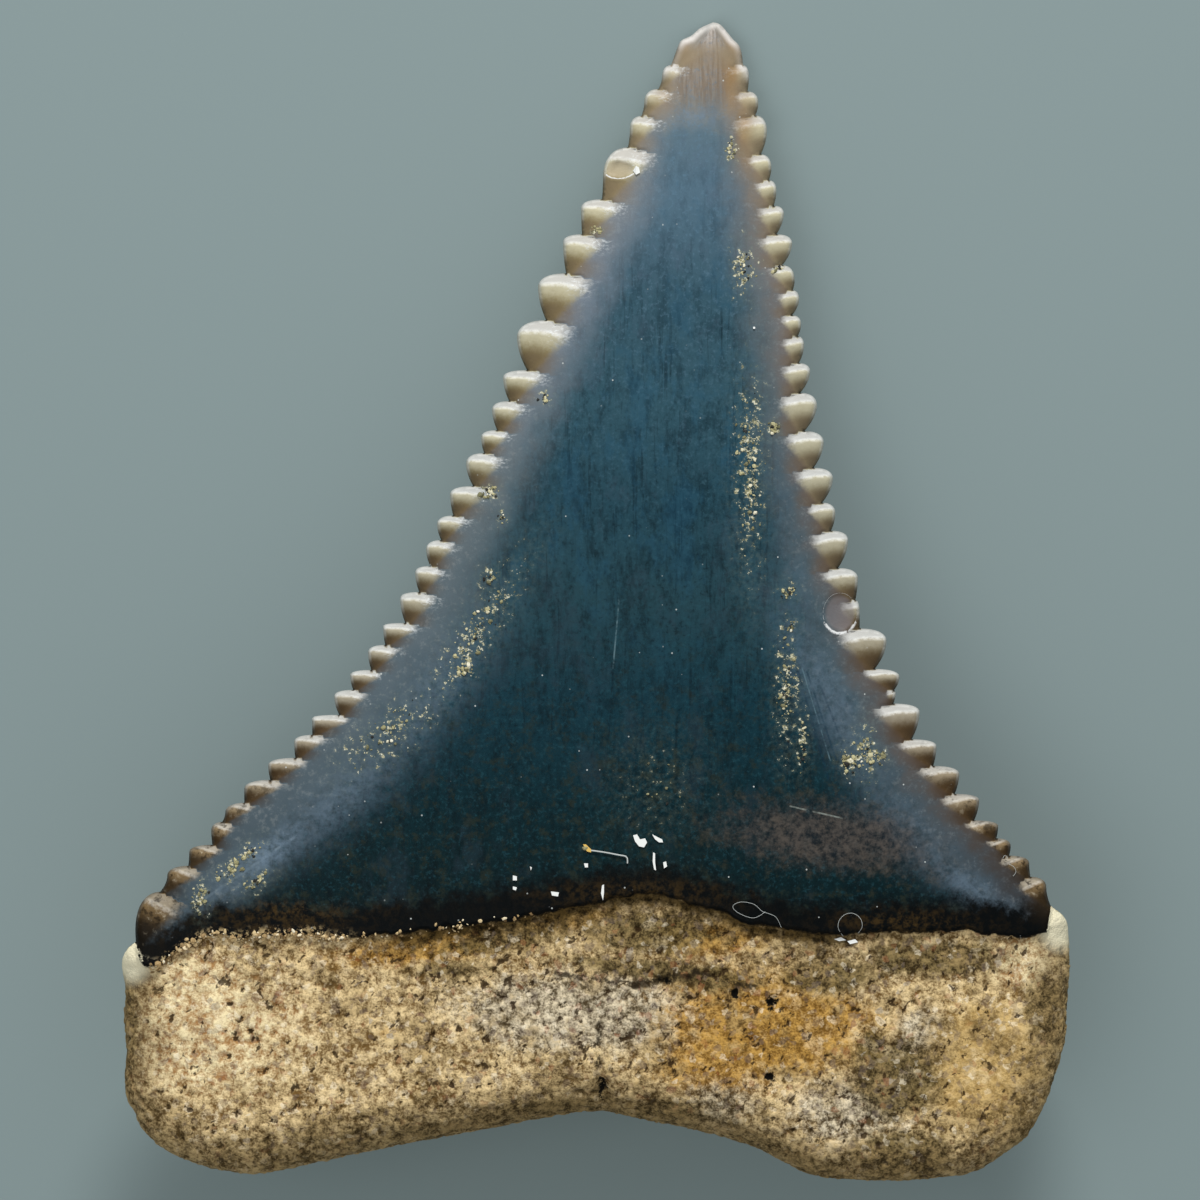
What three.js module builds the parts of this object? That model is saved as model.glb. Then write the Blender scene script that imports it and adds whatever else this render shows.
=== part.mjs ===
// A fossil great white shark tooth: one solid, crown and root grown together, lying on the back
// of its root and on the back of its tip with the flat lip-side face up. Millimetres, +Z up.
//
// The tooth is drawn in its own frame first: x across the width, y from the root lobes towards
// the tip, z out of the flat lip-side face. Two skins, a front one and a back one, share one
// outline and meet in a thin rim along it.

import * as THREE from 'three';

// Driving dimensions
const TOOTH_HEIGHT = 36; // lowest root lobe to tip
const FRONT_BULGE = 0.55; // how far the middle of the flat face swells forward
const EDGE_FRONT = -0.08; // front and back of the cutting edge, at the crest of a serration
const EDGE_BACK = -0.36;
const NOTCH_FRONT = -0.16; // the same in the notch between two serrations
const NOTCH_BACK = -0.5;
const RIM_FRONT = -1.1; // front and back of the upright wall round the root
const RIM_BACK = -2.4;
const FRONT_ROUNDING = 1.5; // radius of the root's rim towards the front
const BACK_ROUNDING = 3.0; // and towards the back
const ENAMEL_STEP = 0.25; // the enamel stands this far proud of the root
const ENAMEL_SETBACK = 0.14; // width of that step, seen from the front
const LOBE_DEPTH = 4.3; // thickness of the root lobes
const TORUS_DEPTH = 2.5; // what the swelling behind the middle of the root adds to that
const TORUS_HALF_WIDTH = 7;
const TORUS_HALF_HEIGHT = 5;
const TORUS_LEVEL = 6.6; // height of the swelling's middle above the lobes
const NECK_START = 0.4; // the back thickens into the root from this far above its enamel line
const NECK_LENGTH = 2.6; // over this height
const ROOT_MIDDLE_LEVEL = 4.5; // height of the middle of the root
const WORN_ROOT = 0.3; // how much the two resting spots are worn flat, on the root
const WORN_TIP = 0.13; // and behind the tip
const CUTTING_MARGIN = 1.1; // width of the strip that carries the serrations,
const WIDEST_MARGIN_SHARE = 0.27; // which near the tip is this share of the crown's width
const LOBE_CORNER_REACH = 1.6; // where the points beside a lobe's corner move further in,
const LOBE_CORNER_PULL = 0.035; // by this share of the way to the middle of the root
const SHOULDER_SHARE = 0.2; // share of the root's side over which the edge thickens into its wall

// Fineness of the facets
const SAMPLES_PER_CURVE = 3; // each serration is two curves, notch to peak and peak to notch
const COLUMN_WIDTH = 1.45;
const FEWEST_COLUMNS = 4;
const BOWED_ROWS = 36; // rows over which the crown's rows bend into the line of the enamel
const ENAMEL_SAMPLES = 24;
const ROOT_COLUMNS = 32;
const ROOT_ROWS = 13;
const SIDE_CROWDING = 0.75; // how much closer the columns and rows stand at the root's rim
const BOTTOM_CROWDING = 0.7;
const OUTLINE_PIECES = 40; // straight pieces of each side of the root, for measuring from it

// Points on the tooth as seen square on from the front, in pixels of the reference photo
const TIP_ROW = 22;
const LOBE_ROW = 1182;
const MIDDLE_COLUMN = 595.6;
const MM_PER_PIXEL = TOOTH_HEIGHT / (LOBE_ROW - TIP_ROW);

const TIP_LEFT = [[713, 22], [700, 28], [691, 35.5], [681, 40.5], [676.5, 50], [671.3, 64.6]];
const TIP_RIGHT = [[713, 22], [720, 24], [727, 31.5], [733, 39], [739, 45], [742, 54], [743, 64.6]];

// Peak column and row, then notch column and row, of each serration from the tip down
const LEFT_SERRATIONS = [
  [662, 77, 658.5, 88.5], [644.3, 102, 641.5, 115.5], [630, 128, 628, 147],
  [603, 178, 602, 199], [581, 208, 582, 234], [563, 242, 566, 273],
  [538, 287, 546, 320], [517, 337, 527, 370], [503, 377, 509, 401],
  [492, 409, 497, 430], [481, 437, 484, 453], [466, 463, 473, 486],
  [450, 494, 453, 515.5], [437, 524, 441, 540], [426, 549, 430, 566],
  [415, 572, 419, 592], [400, 598, 405, 623], [383, 626, 385, 645],
  [368, 652, 371, 670], [350, 675, 353, 690], [334, 696, 339, 715],
  [312, 718, 312, 735], [294, 742, 295, 758], [268, 765, 270, 780],
  [244, 789, 244, 803], [225, 813, 222, 822], [211, 831, 212, 845],
  [189, 852, 188, 866], [167, 876, 160, 892], [135, 931, 135.4, 942],
];
const RIGHT_SERRATIONS = [
  [749, 77, 747.7, 91], [758.5, 103, 755.5, 115], [767, 131, 761, 154],
  [771.5, 168, 769, 180], [776.5, 190, 774, 205.5], [784, 213, 776.7, 234],
  [792.3, 243, 782.5, 265], [794.8, 280, 793, 290], [799.3, 299, 792.3, 315],
  [801.2, 324, 798, 336], [804.2, 345, 799, 363], [810.3, 371, 800.5, 392.7],
  [817, 405, 804.6, 431], [823.8, 442, 813.8, 467.7], [833, 478, 822.5, 502.5],
  [835.5, 513, 831.3, 530.6], [848.3, 540, 838.3, 568], [858, 578, 855.6, 600],
  [859.8, 612, 860, 628.5], [886.7, 641, 875, 669], [899.8, 677, 894.5, 690],
  [895.8, 692.5, 893.7, 703.6], [919.8, 712, 912, 739.4], [936.7, 746, 933.5, 766],
  [959.5, 774, 955, 794], [979.4, 800, 974.5, 820.6], [998.5, 826, 996.7, 838.5],
  [1011, 846, 1009.4, 855.8], [1029.4, 863, 1030.8, 877], [1046.5, 887, 1050.8, 905.5],
];

const ROOT_LEFT = [
  [135.4, 942], [127.7, 948.5], [122, 958.5], [121, 970], [124.5, 992], [123, 1018],
  [125.5, 1049], [123.5, 1077], [125.5, 1098], [133, 1112], [142, 1131], [155, 1145],
];
const ROOT_BOTTOM = [
  [155, 1145], [175, 1157], [208, 1169], [245, 1175], [272, 1173],
  [310, 1165], [400, 1146], [492, 1129], [548, 1118], [596, 1112], [640, 1120], [700, 1132],
  [751, 1147], [784, 1163], [815, 1177], [860, 1181], [900, 1182], [940, 1179], [975, 1173],
  [1001, 1158], [1029, 1137],
];
const ROOT_RIGHT = [
  [1050.8, 905.5], [1057.4, 910.8], [1064, 916.5], [1068.2, 925], [1070, 943], [1070.8, 965],
  [1069.5, 988], [1067.8, 1013], [1066, 1040], [1056, 1078], [1043, 1112], [1029, 1137],
];

// Lower border of the enamel, on the front and, hidden from the front, arched up on the back
const ENAMEL_FRONT = [
  [135.4, 942], [148, 954], [166, 959], [186, 947], [210, 938], [290, 935], [390, 935],
  [480, 923], [560, 910], [610, 899], [655, 894], [700, 906], [745, 921], [800, 933],
  [880, 934], [960, 931], [1008, 936], [1032, 930], [1050.8, 905.5],
];
const ENAMEL_BACK = [
  [135.4, 942], [160, 930], [230, 912], [330, 885], [440, 848], [530, 815], [600, 803],
  [670, 812], [760, 842], [860, 872], [960, 890], [1020, 898], [1050.8, 905.5],
];

// Thickness of the crown along its middle: height above the lobes, depth behind the flat face
const CROWN_DEPTHS = [
  [0, 6.2], [5, 6], [8, 5.5], [11, 4.85], [15, 3.9], [20, 3.0], [25, 2.3], [30, 1.62],
  [33, 1.22], [34.8, 0.95], [35.5, 0.7], [TOOTH_HEIGHT, 0.45],
];

// Finish
const TOOTH_COLOUR = 0x4a6070;
const TOOTH_ROUGHNESS = 0.4;

// Fractions from 0 to 1, closer together towards both ends
function spread(count, crowding) {
  return Array.from({ length: count + 1 }, (_, i) => {
    const t = i / count;
    return t - (crowding * Math.sin(2 * Math.PI * t)) / (2 * Math.PI);
  });
}

// The rows only crowd at their lower end, so they are the second half of such a spread
const rootColumns = spread(ROOT_COLUMNS, SIDE_CROWDING);
const rootRows = spread(2 * ROOT_ROWS, BOTTOM_CROWDING)
  .slice(ROOT_ROWS + 1, -1)
  .map((t) => 2 * t - 1);

function place([column, row]) {
  return new THREE.Vector2(
    (column - MIDDLE_COLUMN) * MM_PER_PIXEL,
    (LOBE_ROW - row) * MM_PER_PIXEL,
  );
}

function smoothstep(value) {
  const t = THREE.MathUtils.clamp(value, 0, 1);
  return t * t * (3 - 2 * t);
}

// Height of a line of [x, y] pairs above x, by straight pieces, for x rising along the list
function heightAt(pairs, x) {
  let i = 1;
  while (i < pairs.length - 1 && pairs[i][0] < x) {
    i += 1;
  }
  const [[x0, y0], [x1, y1]] = [pairs[i - 1], pairs[i]];
  const t = THREE.MathUtils.clamp((x - x0) / (x1 - x0), 0, 1);
  return y0 + (y1 - y0) * t;
}

// The same with a smooth curve through the pairs
function smoothAt(pairs, x) {
  const last = pairs.length - 1;
  let i = 0;
  while (i < last - 1 && pairs[i + 1][0] < x) {
    i += 1;
  }
  const slope = (k) => {
    const a = pairs[Math.max(k - 1, 0)];
    const b = pairs[Math.min(k + 1, last)];
    return (b[1] - a[1]) / (b[0] - a[0]);
  };
  const [[x0, y0], [x1, y1]] = [pairs[i], pairs[i + 1]];
  const span = x1 - x0;
  const t = THREE.MathUtils.clamp((x - x0) / span, 0, 1);
  const rise = y1 - y0;
  const [m0, m1] = [slope(i) * span, slope(i + 1) * span];
  return y0 + m0 * t + (3 * rise - 2 * m0 - m1) * t * t + (m0 + m1 - 2 * rise) * t * t * t;
}

// Outline of one cutting edge, as runs of points from the tip down, one run for each serration.
// A serration leaves its upper notch level, rounds over at its peak and tapers to the next notch.
function serratedEdge(tip, serrations) {
  const knobRoundness = 0.62;
  const taperStart = 0.45;
  const tipCurve = new THREE.SplineCurve(tip.map(place));
  const runs = [tipCurve.getSpacedPoints(2 * SAMPLES_PER_CURVE).slice(1)];
  const notches = [place(tip[0]), place(tip.at(-1))];
  for (const [peakColumn, peakRow, notchColumn, notchRow] of serrations) {
    const start = notches.at(-1);
    const peak = place([peakColumn, peakRow]);
    const end = place([notchColumn, notchRow]);
    const corner = new THREE.Vector2(peak.x, start.y);
    const crest = new THREE.CubicBezierCurve(
      start,
      start.clone().lerp(corner, knobRoundness),
      peak.clone().lerp(corner, knobRoundness),
      peak,
    );
    const bend = new THREE.Vector2(peak.x, peak.y + (end.y - peak.y) * taperStart);
    const taper = new THREE.QuadraticBezierCurve(peak, bend, end);
    runs.push([
      ...crest.getPoints(SAMPLES_PER_CURVE).slice(1),
      ...taper.getPoints(SAMPLES_PER_CURVE).slice(1),
    ]);
    notches.push(end);
  }
  return { runs, notches };
}

const leftEdge = serratedEdge(TIP_LEFT, LEFT_SERRATIONS);
const rightEdge = serratedEdge(TIP_RIGHT, RIGHT_SERRATIONS);
const CROWN_ROWS = 2 * (leftEdge.notches.length - 1);

// The plain sides of the tooth without its serrations, as [height, x] pairs from the lobes up
function plainSide(edge, root) {
  const points = [...edge.notches, ...root.slice(1).map(place)];
  return points.map((p) => [p.y, p.x]).sort((a, b) => a[0] - b[0]);
}

const leftSide = plainSide(leftEdge, ROOT_LEFT);
const rightSide = plainSide(rightEdge, ROOT_RIGHT);
const backEnamel = ENAMEL_BACK.map(place).map((p) => [p.x, p.y]);

const rootLeft = new THREE.SplineCurve(ROOT_LEFT.map(place));
const rootRight = new THREE.SplineCurve(ROOT_RIGHT.map(place));
const rootBottom = new THREE.SplineCurve(ROOT_BOTTOM.map(place));
const rootOutline = [rootLeft, rootBottom, rootRight].flatMap((curve) => {
  const points = curve.getPoints(OUTLINE_PIECES).map((p) => new THREE.Vector3(p.x, p.y, 0));
  return points.slice(1).map((p, i) => new THREE.Line3(points[i], p));
});

// Depth of the flat spots that the tooth lies on, worked out once the back is known
const rest = { slope: 0, lift: Infinity };

function crossPosition(p) {
  const left = heightAt(leftSide, p.y);
  const right = heightAt(rightSide, p.y);
  return THREE.MathUtils.clamp((2 * p.x - left - right) / (right - left), -1, 1);
}

// 0 on the outline of the root, 1 further in than the radius, along a quarter of a circle
function rounding(p, radius) {
  const distance = Math.min(...rootOutline.map((piece) => (
    piece.closestPointToPoint(new THREE.Vector3(p.x, p.y, 0), true, new THREE.Vector3())
      .distanceTo(new THREE.Vector3(p.x, p.y, 0))
  )));
  const t = 1 - THREE.MathUtils.clamp(distance / radius, 0, 1);
  return Math.sqrt(1 - t * t);
}

function frontFace(p) {
  return FRONT_BULGE * (1 - crossPosition(p) ** 2);
}

function frontOfRoot(p) {
  const face = frontFace(p) - ENAMEL_STEP;
  return RIM_FRONT + (face - RIM_FRONT) * rounding(p, FRONT_ROUNDING);
}

function backOfRoot(p) {
  const torus = TORUS_DEPTH
    * Math.exp(-((p.x / TORUS_HALF_WIDTH) ** 4))
    * Math.exp(-(((p.y - TORUS_LEVEL) / TORUS_HALF_HEIGHT) ** 2));
  const face = -(LOBE_DEPTH + torus);
  return RIM_BACK + (face - RIM_BACK) * rounding(p, BACK_ROUNDING);
}

function backOfCrown(p) {
  const middle = -smoothAt(CROWN_DEPTHS, p.y);
  return EDGE_BACK + (middle - EDGE_BACK) * (1 - crossPosition(p) ** 2);
}

// The back of the crown runs into the thicker root in a slope just below the enamel
function backFace(p) {
  const below = (heightAt(backEnamel, p.x) + NECK_START - p.y) / NECK_LENGTH;
  const share = smoothstep(below);
  const depth = backOfCrown(p) * (1 - share) + backOfRoot(p) * share;
  return Math.max(depth, p.y * rest.slope - rest.lift);
}

// The tilt at which the back of the root and the back of the tip touch the same level surface,
// and how deep that surface cuts into them
function settle() {
  const tipStart = 0.7 * TOOTH_HEIGHT;
  const step = 0.1;
  const swelling = [];
  const tip = [];
  for (let y = step; y < tipStart; y += step) {
    swelling.push([y, backFace(new THREE.Vector2(0, y))]);
  }
  for (let y = tipStart; y <= TOOTH_HEIGHT; y += step) {
    const middle = (heightAt(leftSide, y) + heightAt(rightSide, y)) / 2;
    tip.push([y, backFace(new THREE.Vector2(middle, y))]);
  }
  const deepest = (list, slope) => Math.max(...list.map(([y, z]) => y * slope - z));
  let [low, high] = [0, 1];
  for (let halving = 0; halving < 40; halving += 1) {
    const slope = (low + high) / 2;
    if (deepest(tip, slope) - WORN_TIP > deepest(swelling, slope) - WORN_ROOT) {
      high = slope;
    } else {
      low = slope;
    }
  }
  rest.slope = low;
  rest.lift = deepest(swelling, low) - WORN_ROOT;
}

// A closed skin of triangles
class Skin {
  points = [];

  faces = [];

  vertex(p, z) {
    this.points.push(p.x, p.y, z);
    return this.points.length / 3 - 1;
  }

  triangle(a, b, c, flip) {
    if (a !== b && b !== c && c !== a) {
      this.faces.push(...(flip ? [a, c, b] : [a, b, c]));
    }
  }

  distance(a, b) {
    const at = (i) => new THREE.Vector3().fromArray(this.points, 3 * i);
    return at(a).distanceTo(at(b));
  }

  // Fills the band between two lines of vertices, always across the shorter diagonal
  stitch(upper, lower, flip) {
    let [i, j] = [0, 0];
    while (i < upper.length - 1 || j < lower.length - 1) {
      const alongUpper = i < upper.length - 1 ? this.distance(upper[i + 1], lower[j]) : Infinity;
      const alongLower = j < lower.length - 1 ? this.distance(upper[i], lower[j + 1]) : Infinity;
      if (alongUpper < alongLower) {
        this.triangle(upper[i], lower[j], upper[i + 1], flip);
        i += 1;
      } else {
        this.triangle(upper[i], lower[j], lower[j + 1], flip);
        j += 1;
      }
    }
  }

  geometry() {
    const geometry = new THREE.BufferGeometry();
    geometry.setAttribute('position', new THREE.Float32BufferAttribute(this.points, 3));
    geometry.setIndex(this.faces);
    geometry.computeVertexNormals();
    return geometry;
  }
}

// Where the plain cutting edge is at each half serration down from the tip
function edgePoint(edge, row) {
  const above = edge.notches[Math.floor(row / 2)];
  const below = edge.notches[Math.ceil(row / 2)];
  return above.clone().lerp(below, 0.5);
}

// One row of points across the crown, between the strips that carry the serrations
function crownRow(row, enamel) {
  const left = edgePoint(leftEdge, row);
  const right = edgePoint(rightEdge, row);
  const width = left.distanceTo(right);
  if (row === 0) {
    return [left.clone().setY(left.y - CUTTING_MARGIN / 3)];
  }
  const margin = Math.min(CUTTING_MARGIN / width, WIDEST_MARGIN_SHARE);
  const columns = Math.max(FEWEST_COLUMNS, Math.round((width * (1 - 2 * margin)) / COLUMN_WIDTH));
  const bend = smoothstep((row - CROWN_ROWS + BOWED_ROWS) / BOWED_ROWS);
  const [leftEnd, rightEnd] = [enamel[0], enamel.at(-1)];
  return Array.from({ length: columns + 1 }, (_, i) => {
    const p = left.clone().lerp(right, margin + (i / columns) * (1 - 2 * margin));
    const bow = heightAt(enamel, p.x) - heightAt([leftEnd, rightEnd], p.x);
    return p.setY(p.y + bow * bend);
  });
}

// A point of the root between the enamel line above, the outline's sides and its lower edge
function rootPoint(top, across, down) {
  const left = rootLeft.getPointAt(down);
  const right = rootRight.getPointAt(down);
  const upper = top.getPointAt(across);
  const lower = rootBottom.getPointAt(across);
  const acrossEnds = (end) => rootLeft.getPoint(end).lerp(rootRight.getPoint(end), across);
  const flat = acrossEnds(0).lerp(acrossEnds(1), down);
  const toSide = Math.min(across, 1 - across) * left.distanceTo(right);
  const toBottom = (1 - down) * upper.distanceTo(lower);
  const p = upper.lerp(lower, down).add(left.lerp(right, across)).sub(flat);
  // Where the side runs on smoothly into the lower edge, the points beside it move further in
  const reach = (toSide ** 2 + toBottom ** 2) / LOBE_CORNER_REACH ** 2;
  const middle = new THREE.Vector2(0, ROOT_MIDDLE_LEVEL);
  return p.lerp(middle, LOBE_CORNER_PULL * Math.exp(-reach));
}

// Vertices along one cutting edge, with the two depths of the crest and of the notch
function edgeVertices(skin, edge, crestDepth, notchDepth) {
  return edge.runs.flatMap((run) => run.map((p, i) => {
    const crest = Math.sin((Math.PI * (i + 1)) / run.length);
    return skin.vertex(p, notchDepth + (crestDepth - notchDepth) * crest);
  }));
}

// The outline as seen from the front or the back
function outlineVertices(skin, crestDepth, notchDepth, rimDepth) {
  const tip = skin.vertex(leftEdge.notches[0], crestDepth);
  const left = [tip, ...edgeVertices(skin, leftEdge, crestDepth, notchDepth)];
  const right = [tip, ...edgeVertices(skin, rightEdge, crestDepth, notchDepth)];
  const side = (curve) => rootRows.map((down) => {
    const share = smoothstep(down / SHOULDER_SHARE);
    return skin.vertex(curve.getPointAt(down), notchDepth + (rimDepth - notchDepth) * share);
  });
  const bottom = rootColumns.map((across) => (
    skin.vertex(rootBottom.getPointAt(across), rimDepth)));
  return { left, right, rootLeft: side(rootLeft), rootRight: side(rootRight), bottom };
}

function addFace(skin, outline, enamelLine, setback, crownDepth, rootDepth, flip) {
  const enamelCurve = new THREE.SplineCurve(enamelLine.map(place));
  const enamel = enamelCurve.getSpacedPoints(ENAMEL_SAMPLES);
  const enamelPairs = enamelLine.map(place).map((p) => [p.x, p.y]);
  const rows = [];
  for (let row = 0; row < CROWN_ROWS; row += 1) {
    rows.push(crownRow(row, enamelPairs).map((p) => skin.vertex(p, crownDepth(p))));
  }
  const [leftEnd, rightEnd] = [outline.left.at(-1), outline.right.at(-1)];
  const between = enamel.slice(1, -1);
  rows.push([leftEnd, ...between.map((p) => skin.vertex(p, crownDepth(p))), rightEnd]);

  skin.stitch([...rows.slice(0, -1).map((row) => row[0]), leftEnd], outline.left, flip);
  skin.stitch(outline.right, [...rows.slice(0, -1).map((row) => row.at(-1)), rightEnd], flip);
  for (let i = 1; i < rows.length; i += 1) {
    skin.stitch(rows[i - 1], rows[i], flip);
  }

  // The foot of the enamel's step, then the rows of the root
  const foot = between.map((p, i) => {
    const along = enamel[i + 2].clone().sub(enamel[i]).normalize();
    return p.clone().add(new THREE.Vector2(along.y, -along.x).multiplyScalar(setback));
  });
  const rootTop = new THREE.SplineCurve([enamel[0], ...foot, enamel.at(-1)]);
  let above = rows.at(-1);
  if (setback > 0) {
    above = [leftEnd, ...foot.map((p) => skin.vertex(p, rootDepth(p))), rightEnd];
    skin.stitch(rows.at(-1), above, flip);
  }
  rootRows.forEach((down, i) => {
    const inner = rootColumns.slice(1, -1).map((across) => {
      const p = rootPoint(rootTop, across, down);
      return skin.vertex(p, rootDepth(p));
    });
    const row = [outline.rootLeft[i], ...inner, outline.rootRight[i]];
    skin.stitch(above, row, flip);
    above = row;
  });
  skin.stitch(above, outline.bottom, flip);
}

function toothGeometry() {
  const skin = new Skin();
  settle();
  const front = outlineVertices(skin, EDGE_FRONT, NOTCH_FRONT, RIM_FRONT);
  const back = outlineVertices(skin, EDGE_BACK, NOTCH_BACK, RIM_BACK);
  addFace(skin, front, ENAMEL_FRONT, ENAMEL_SETBACK, frontFace, frontOfRoot, false);
  addFace(skin, back, ENAMEL_BACK, 0, backFace, backFace, true);
  const around = ({ left, rootLeft: a, bottom, rootRight: b, right }) => [
    ...left, ...a, ...bottom, ...b.toReversed(), ...right.toReversed(),
  ];
  skin.stitch(around(front), around(back), false);
  return skin.geometry();
}

const tooth = new THREE.Mesh(
  toothGeometry(),
  new THREE.MeshStandardMaterial({
    color: TOOTH_COLOUR,
    roughness: TOOTH_ROUGHNESS,
    metalness: 0,
  }),
);
tooth.name = 'tooth';

// Laid on its back, with the middle of its box over the origin and the resting spots at z = 0
const part = new THREE.Group();
part.add(tooth);
tooth.rotation.x = -Math.atan(rest.slope);
tooth.position.z = rest.lift * Math.cos(tooth.rotation.x);
const middle = new THREE.Box3().setFromObject(part, true).getCenter(new THREE.Vector3());
tooth.position.x = -middle.x;
tooth.position.y = -middle.y;

export default part;
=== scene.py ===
"""The fine surface and finish of a fossil great white shark tooth, and the dust that sticks to it.

The tooth is drawn in its own frame first, in millimetres: x across the width, y from the root
lobes towards the tip, z out of the flat lip-side face. It is then laid on its back in metres.
"""

import math

import bmesh
import bpy
import numpy as np
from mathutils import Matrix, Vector, noise
from mathutils.geometry import delaunay_2d_cdt
from mathutils.kdtree import KDTree


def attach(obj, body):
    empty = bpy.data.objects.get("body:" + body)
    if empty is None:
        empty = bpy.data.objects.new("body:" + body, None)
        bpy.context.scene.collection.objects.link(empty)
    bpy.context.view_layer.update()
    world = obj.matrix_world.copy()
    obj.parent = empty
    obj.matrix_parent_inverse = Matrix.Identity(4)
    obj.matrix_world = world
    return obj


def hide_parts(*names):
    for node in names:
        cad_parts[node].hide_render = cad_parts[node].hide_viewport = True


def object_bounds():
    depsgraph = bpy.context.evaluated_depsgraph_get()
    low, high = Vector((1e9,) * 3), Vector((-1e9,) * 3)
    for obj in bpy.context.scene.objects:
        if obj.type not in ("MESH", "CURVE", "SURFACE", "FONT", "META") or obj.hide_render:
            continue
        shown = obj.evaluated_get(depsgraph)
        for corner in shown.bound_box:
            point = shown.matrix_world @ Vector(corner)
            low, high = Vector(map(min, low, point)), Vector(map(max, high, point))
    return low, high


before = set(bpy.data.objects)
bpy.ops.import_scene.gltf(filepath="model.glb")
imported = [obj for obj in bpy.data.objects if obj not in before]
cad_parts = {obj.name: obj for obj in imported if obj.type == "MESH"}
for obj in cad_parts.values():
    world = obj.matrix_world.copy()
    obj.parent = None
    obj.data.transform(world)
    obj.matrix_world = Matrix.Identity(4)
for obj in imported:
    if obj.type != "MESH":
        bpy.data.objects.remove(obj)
cad_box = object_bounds()

# Driving dimensions, the same as the solid's, in millimetres
MM = 0.001
TOOTH_HEIGHT = 36.0
FRONT_BULGE = 0.55
CREST_MIDDLE = -0.22  # depth of the cutting edge's middle at the crest of a serration
NOTCH_MIDDLE = -0.33  # and in the notch between two
EDGE_BACK = -0.36
RIM_FRONT = -1.1
RIM_BACK = -2.4
FRONT_ROUNDING = 1.5
BACK_ROUNDING = 3.0
ENAMEL_STEP = 0.25
LOBE_DEPTH = 4.3
TORUS_DEPTH = 2.5
TORUS_HALF_WIDTH = 7.0
TORUS_HALF_HEIGHT = 5.0
TORUS_LEVEL = 6.6
NECK_START = 0.4
NECK_LENGTH = 2.6
WORN_ROOT = 0.3
WORN_TIP = 0.13
SHOULDER_SHARE = 0.2
SHOULDER_ROUNDING = 0.35  # of the root's faces beside the ends of the cutting edges
KNOB_ROUNDNESS = 0.62  # how round the crest of a serration is
TAPER_START = 0.45  # a serration runs straight down this share of the way to its notch

# Relief that only the fine surface has
EDGE_ROUNDING = 0.3  # radius of the cutting edge
SHELF_HEIGHT = 0.28  # each serration rises this much from the notch above it to its crest
SHELF_REACH = 0.5  # its relief runs this share of a serration's width into the crown
SHELF_DROOP = 0.22  # going down by this share of the way in
SHELF_RISE = 0.24  # share of a serration taken up by its shelf, which faces the tip
DROOP_BELOW = 14.0  # the shelves droop more below this height
FULL_PITCH = 0.9  # serrations narrower than this rise less
LOW_RELIEF = 0.45  # and the lowest ones by this share only, up to this height
LOW_SERRATIONS = 8.5
RAGGED_SIZE = 0.5  # of the notches in the enamel's lower border, and how far they go
RAGGED_REACH = 0.13
CHIP_RIM = 0.04  # height of the rim pushed up round a chip
ROOT_WAVES = 0.07  # height of the gentle waves of the root's front
GRAIN_SIZE = 0.24
GRAIN_HEIGHT = 0.18
PORE_DEPTH = 0.1
PIT_DEPTH = 0.25

# Spacing of the points of the fine surface
EDGE_SPACING = 0.085
ROOT_SPACING = 0.092
ROOT_BACK_SPACING = 0.13
SERRATED_SPACING = 0.09
SERRATED_BACK_SPACING = 0.125
CROWN_SPACING = 0.2
CROWN_BACK_SPACING = 0.25
RIM_INSET = 0.5  # the rows that run round the rim of the root start this far in
RIM_SPACING = 0.1
SERRATED_REACH = 1.25  # the serrations' spacing goes this far in
BLENDED_REACH = 1.7  # and a spacing between theirs and the crown's this far
ROOT_REACH = 0.3  # the root's spacing goes this far above the enamel's border
BLENDED_ABOVE = 0.8  # and the spacing between this far

# Finish
ROOT_ROUGHNESS = 0.85
ENAMEL_ROUGHNESS = 0.4
ROOT_BUMP = 0.06
ENAMEL_BUMP = 0.012

# Points seen square on from the front, in pixels of the 1200 by 1200 reference photo
IMAGE_SIZE = 1200
TIP_ROW = 22
LOBE_ROW = 1182
MIDDLE_COLUMN = 595.6
MM_PER_PIXEL = TOOTH_HEIGHT / (LOBE_ROW - TIP_ROW)

TIP_LEFT = [(713, 22), (700, 28), (691, 35.5), (681, 40.5), (676.5, 50), (671.3, 64.6)]
TIP_RIGHT = [(713, 22), (720, 24), (727, 31.5), (733, 39), (739, 45), (742, 54), (743, 64.6)]

# Peak column and row, then notch column and row, of each serration from the tip down
LEFT_SERRATIONS = [
    (662, 77, 658.5, 88.5), (644.3, 102, 641.5, 115.5), (630, 128, 628, 147),
    (603, 178, 602, 199), (581, 208, 582, 234), (563, 242, 566, 273),
    (538, 287, 546, 320), (517, 337, 527, 370), (503, 377, 509, 401),
    (492, 409, 497, 430), (481, 437, 484, 453), (466, 463, 473, 486),
    (450, 494, 453, 515.5), (437, 524, 441, 540), (426, 549, 430, 566),
    (415, 572, 419, 592), (400, 598, 405, 623), (383, 626, 385, 645),
    (368, 652, 371, 670), (350, 675, 353, 690), (334, 696, 339, 715),
    (312, 718, 312, 735), (294, 742, 295, 758), (268, 765, 270, 780),
    (244, 789, 244, 803), (225, 813, 222, 822), (211, 831, 212, 845),
    (189, 852, 188, 866), (167, 876, 160, 892), (135, 931, 135.4, 942),
]
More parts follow.
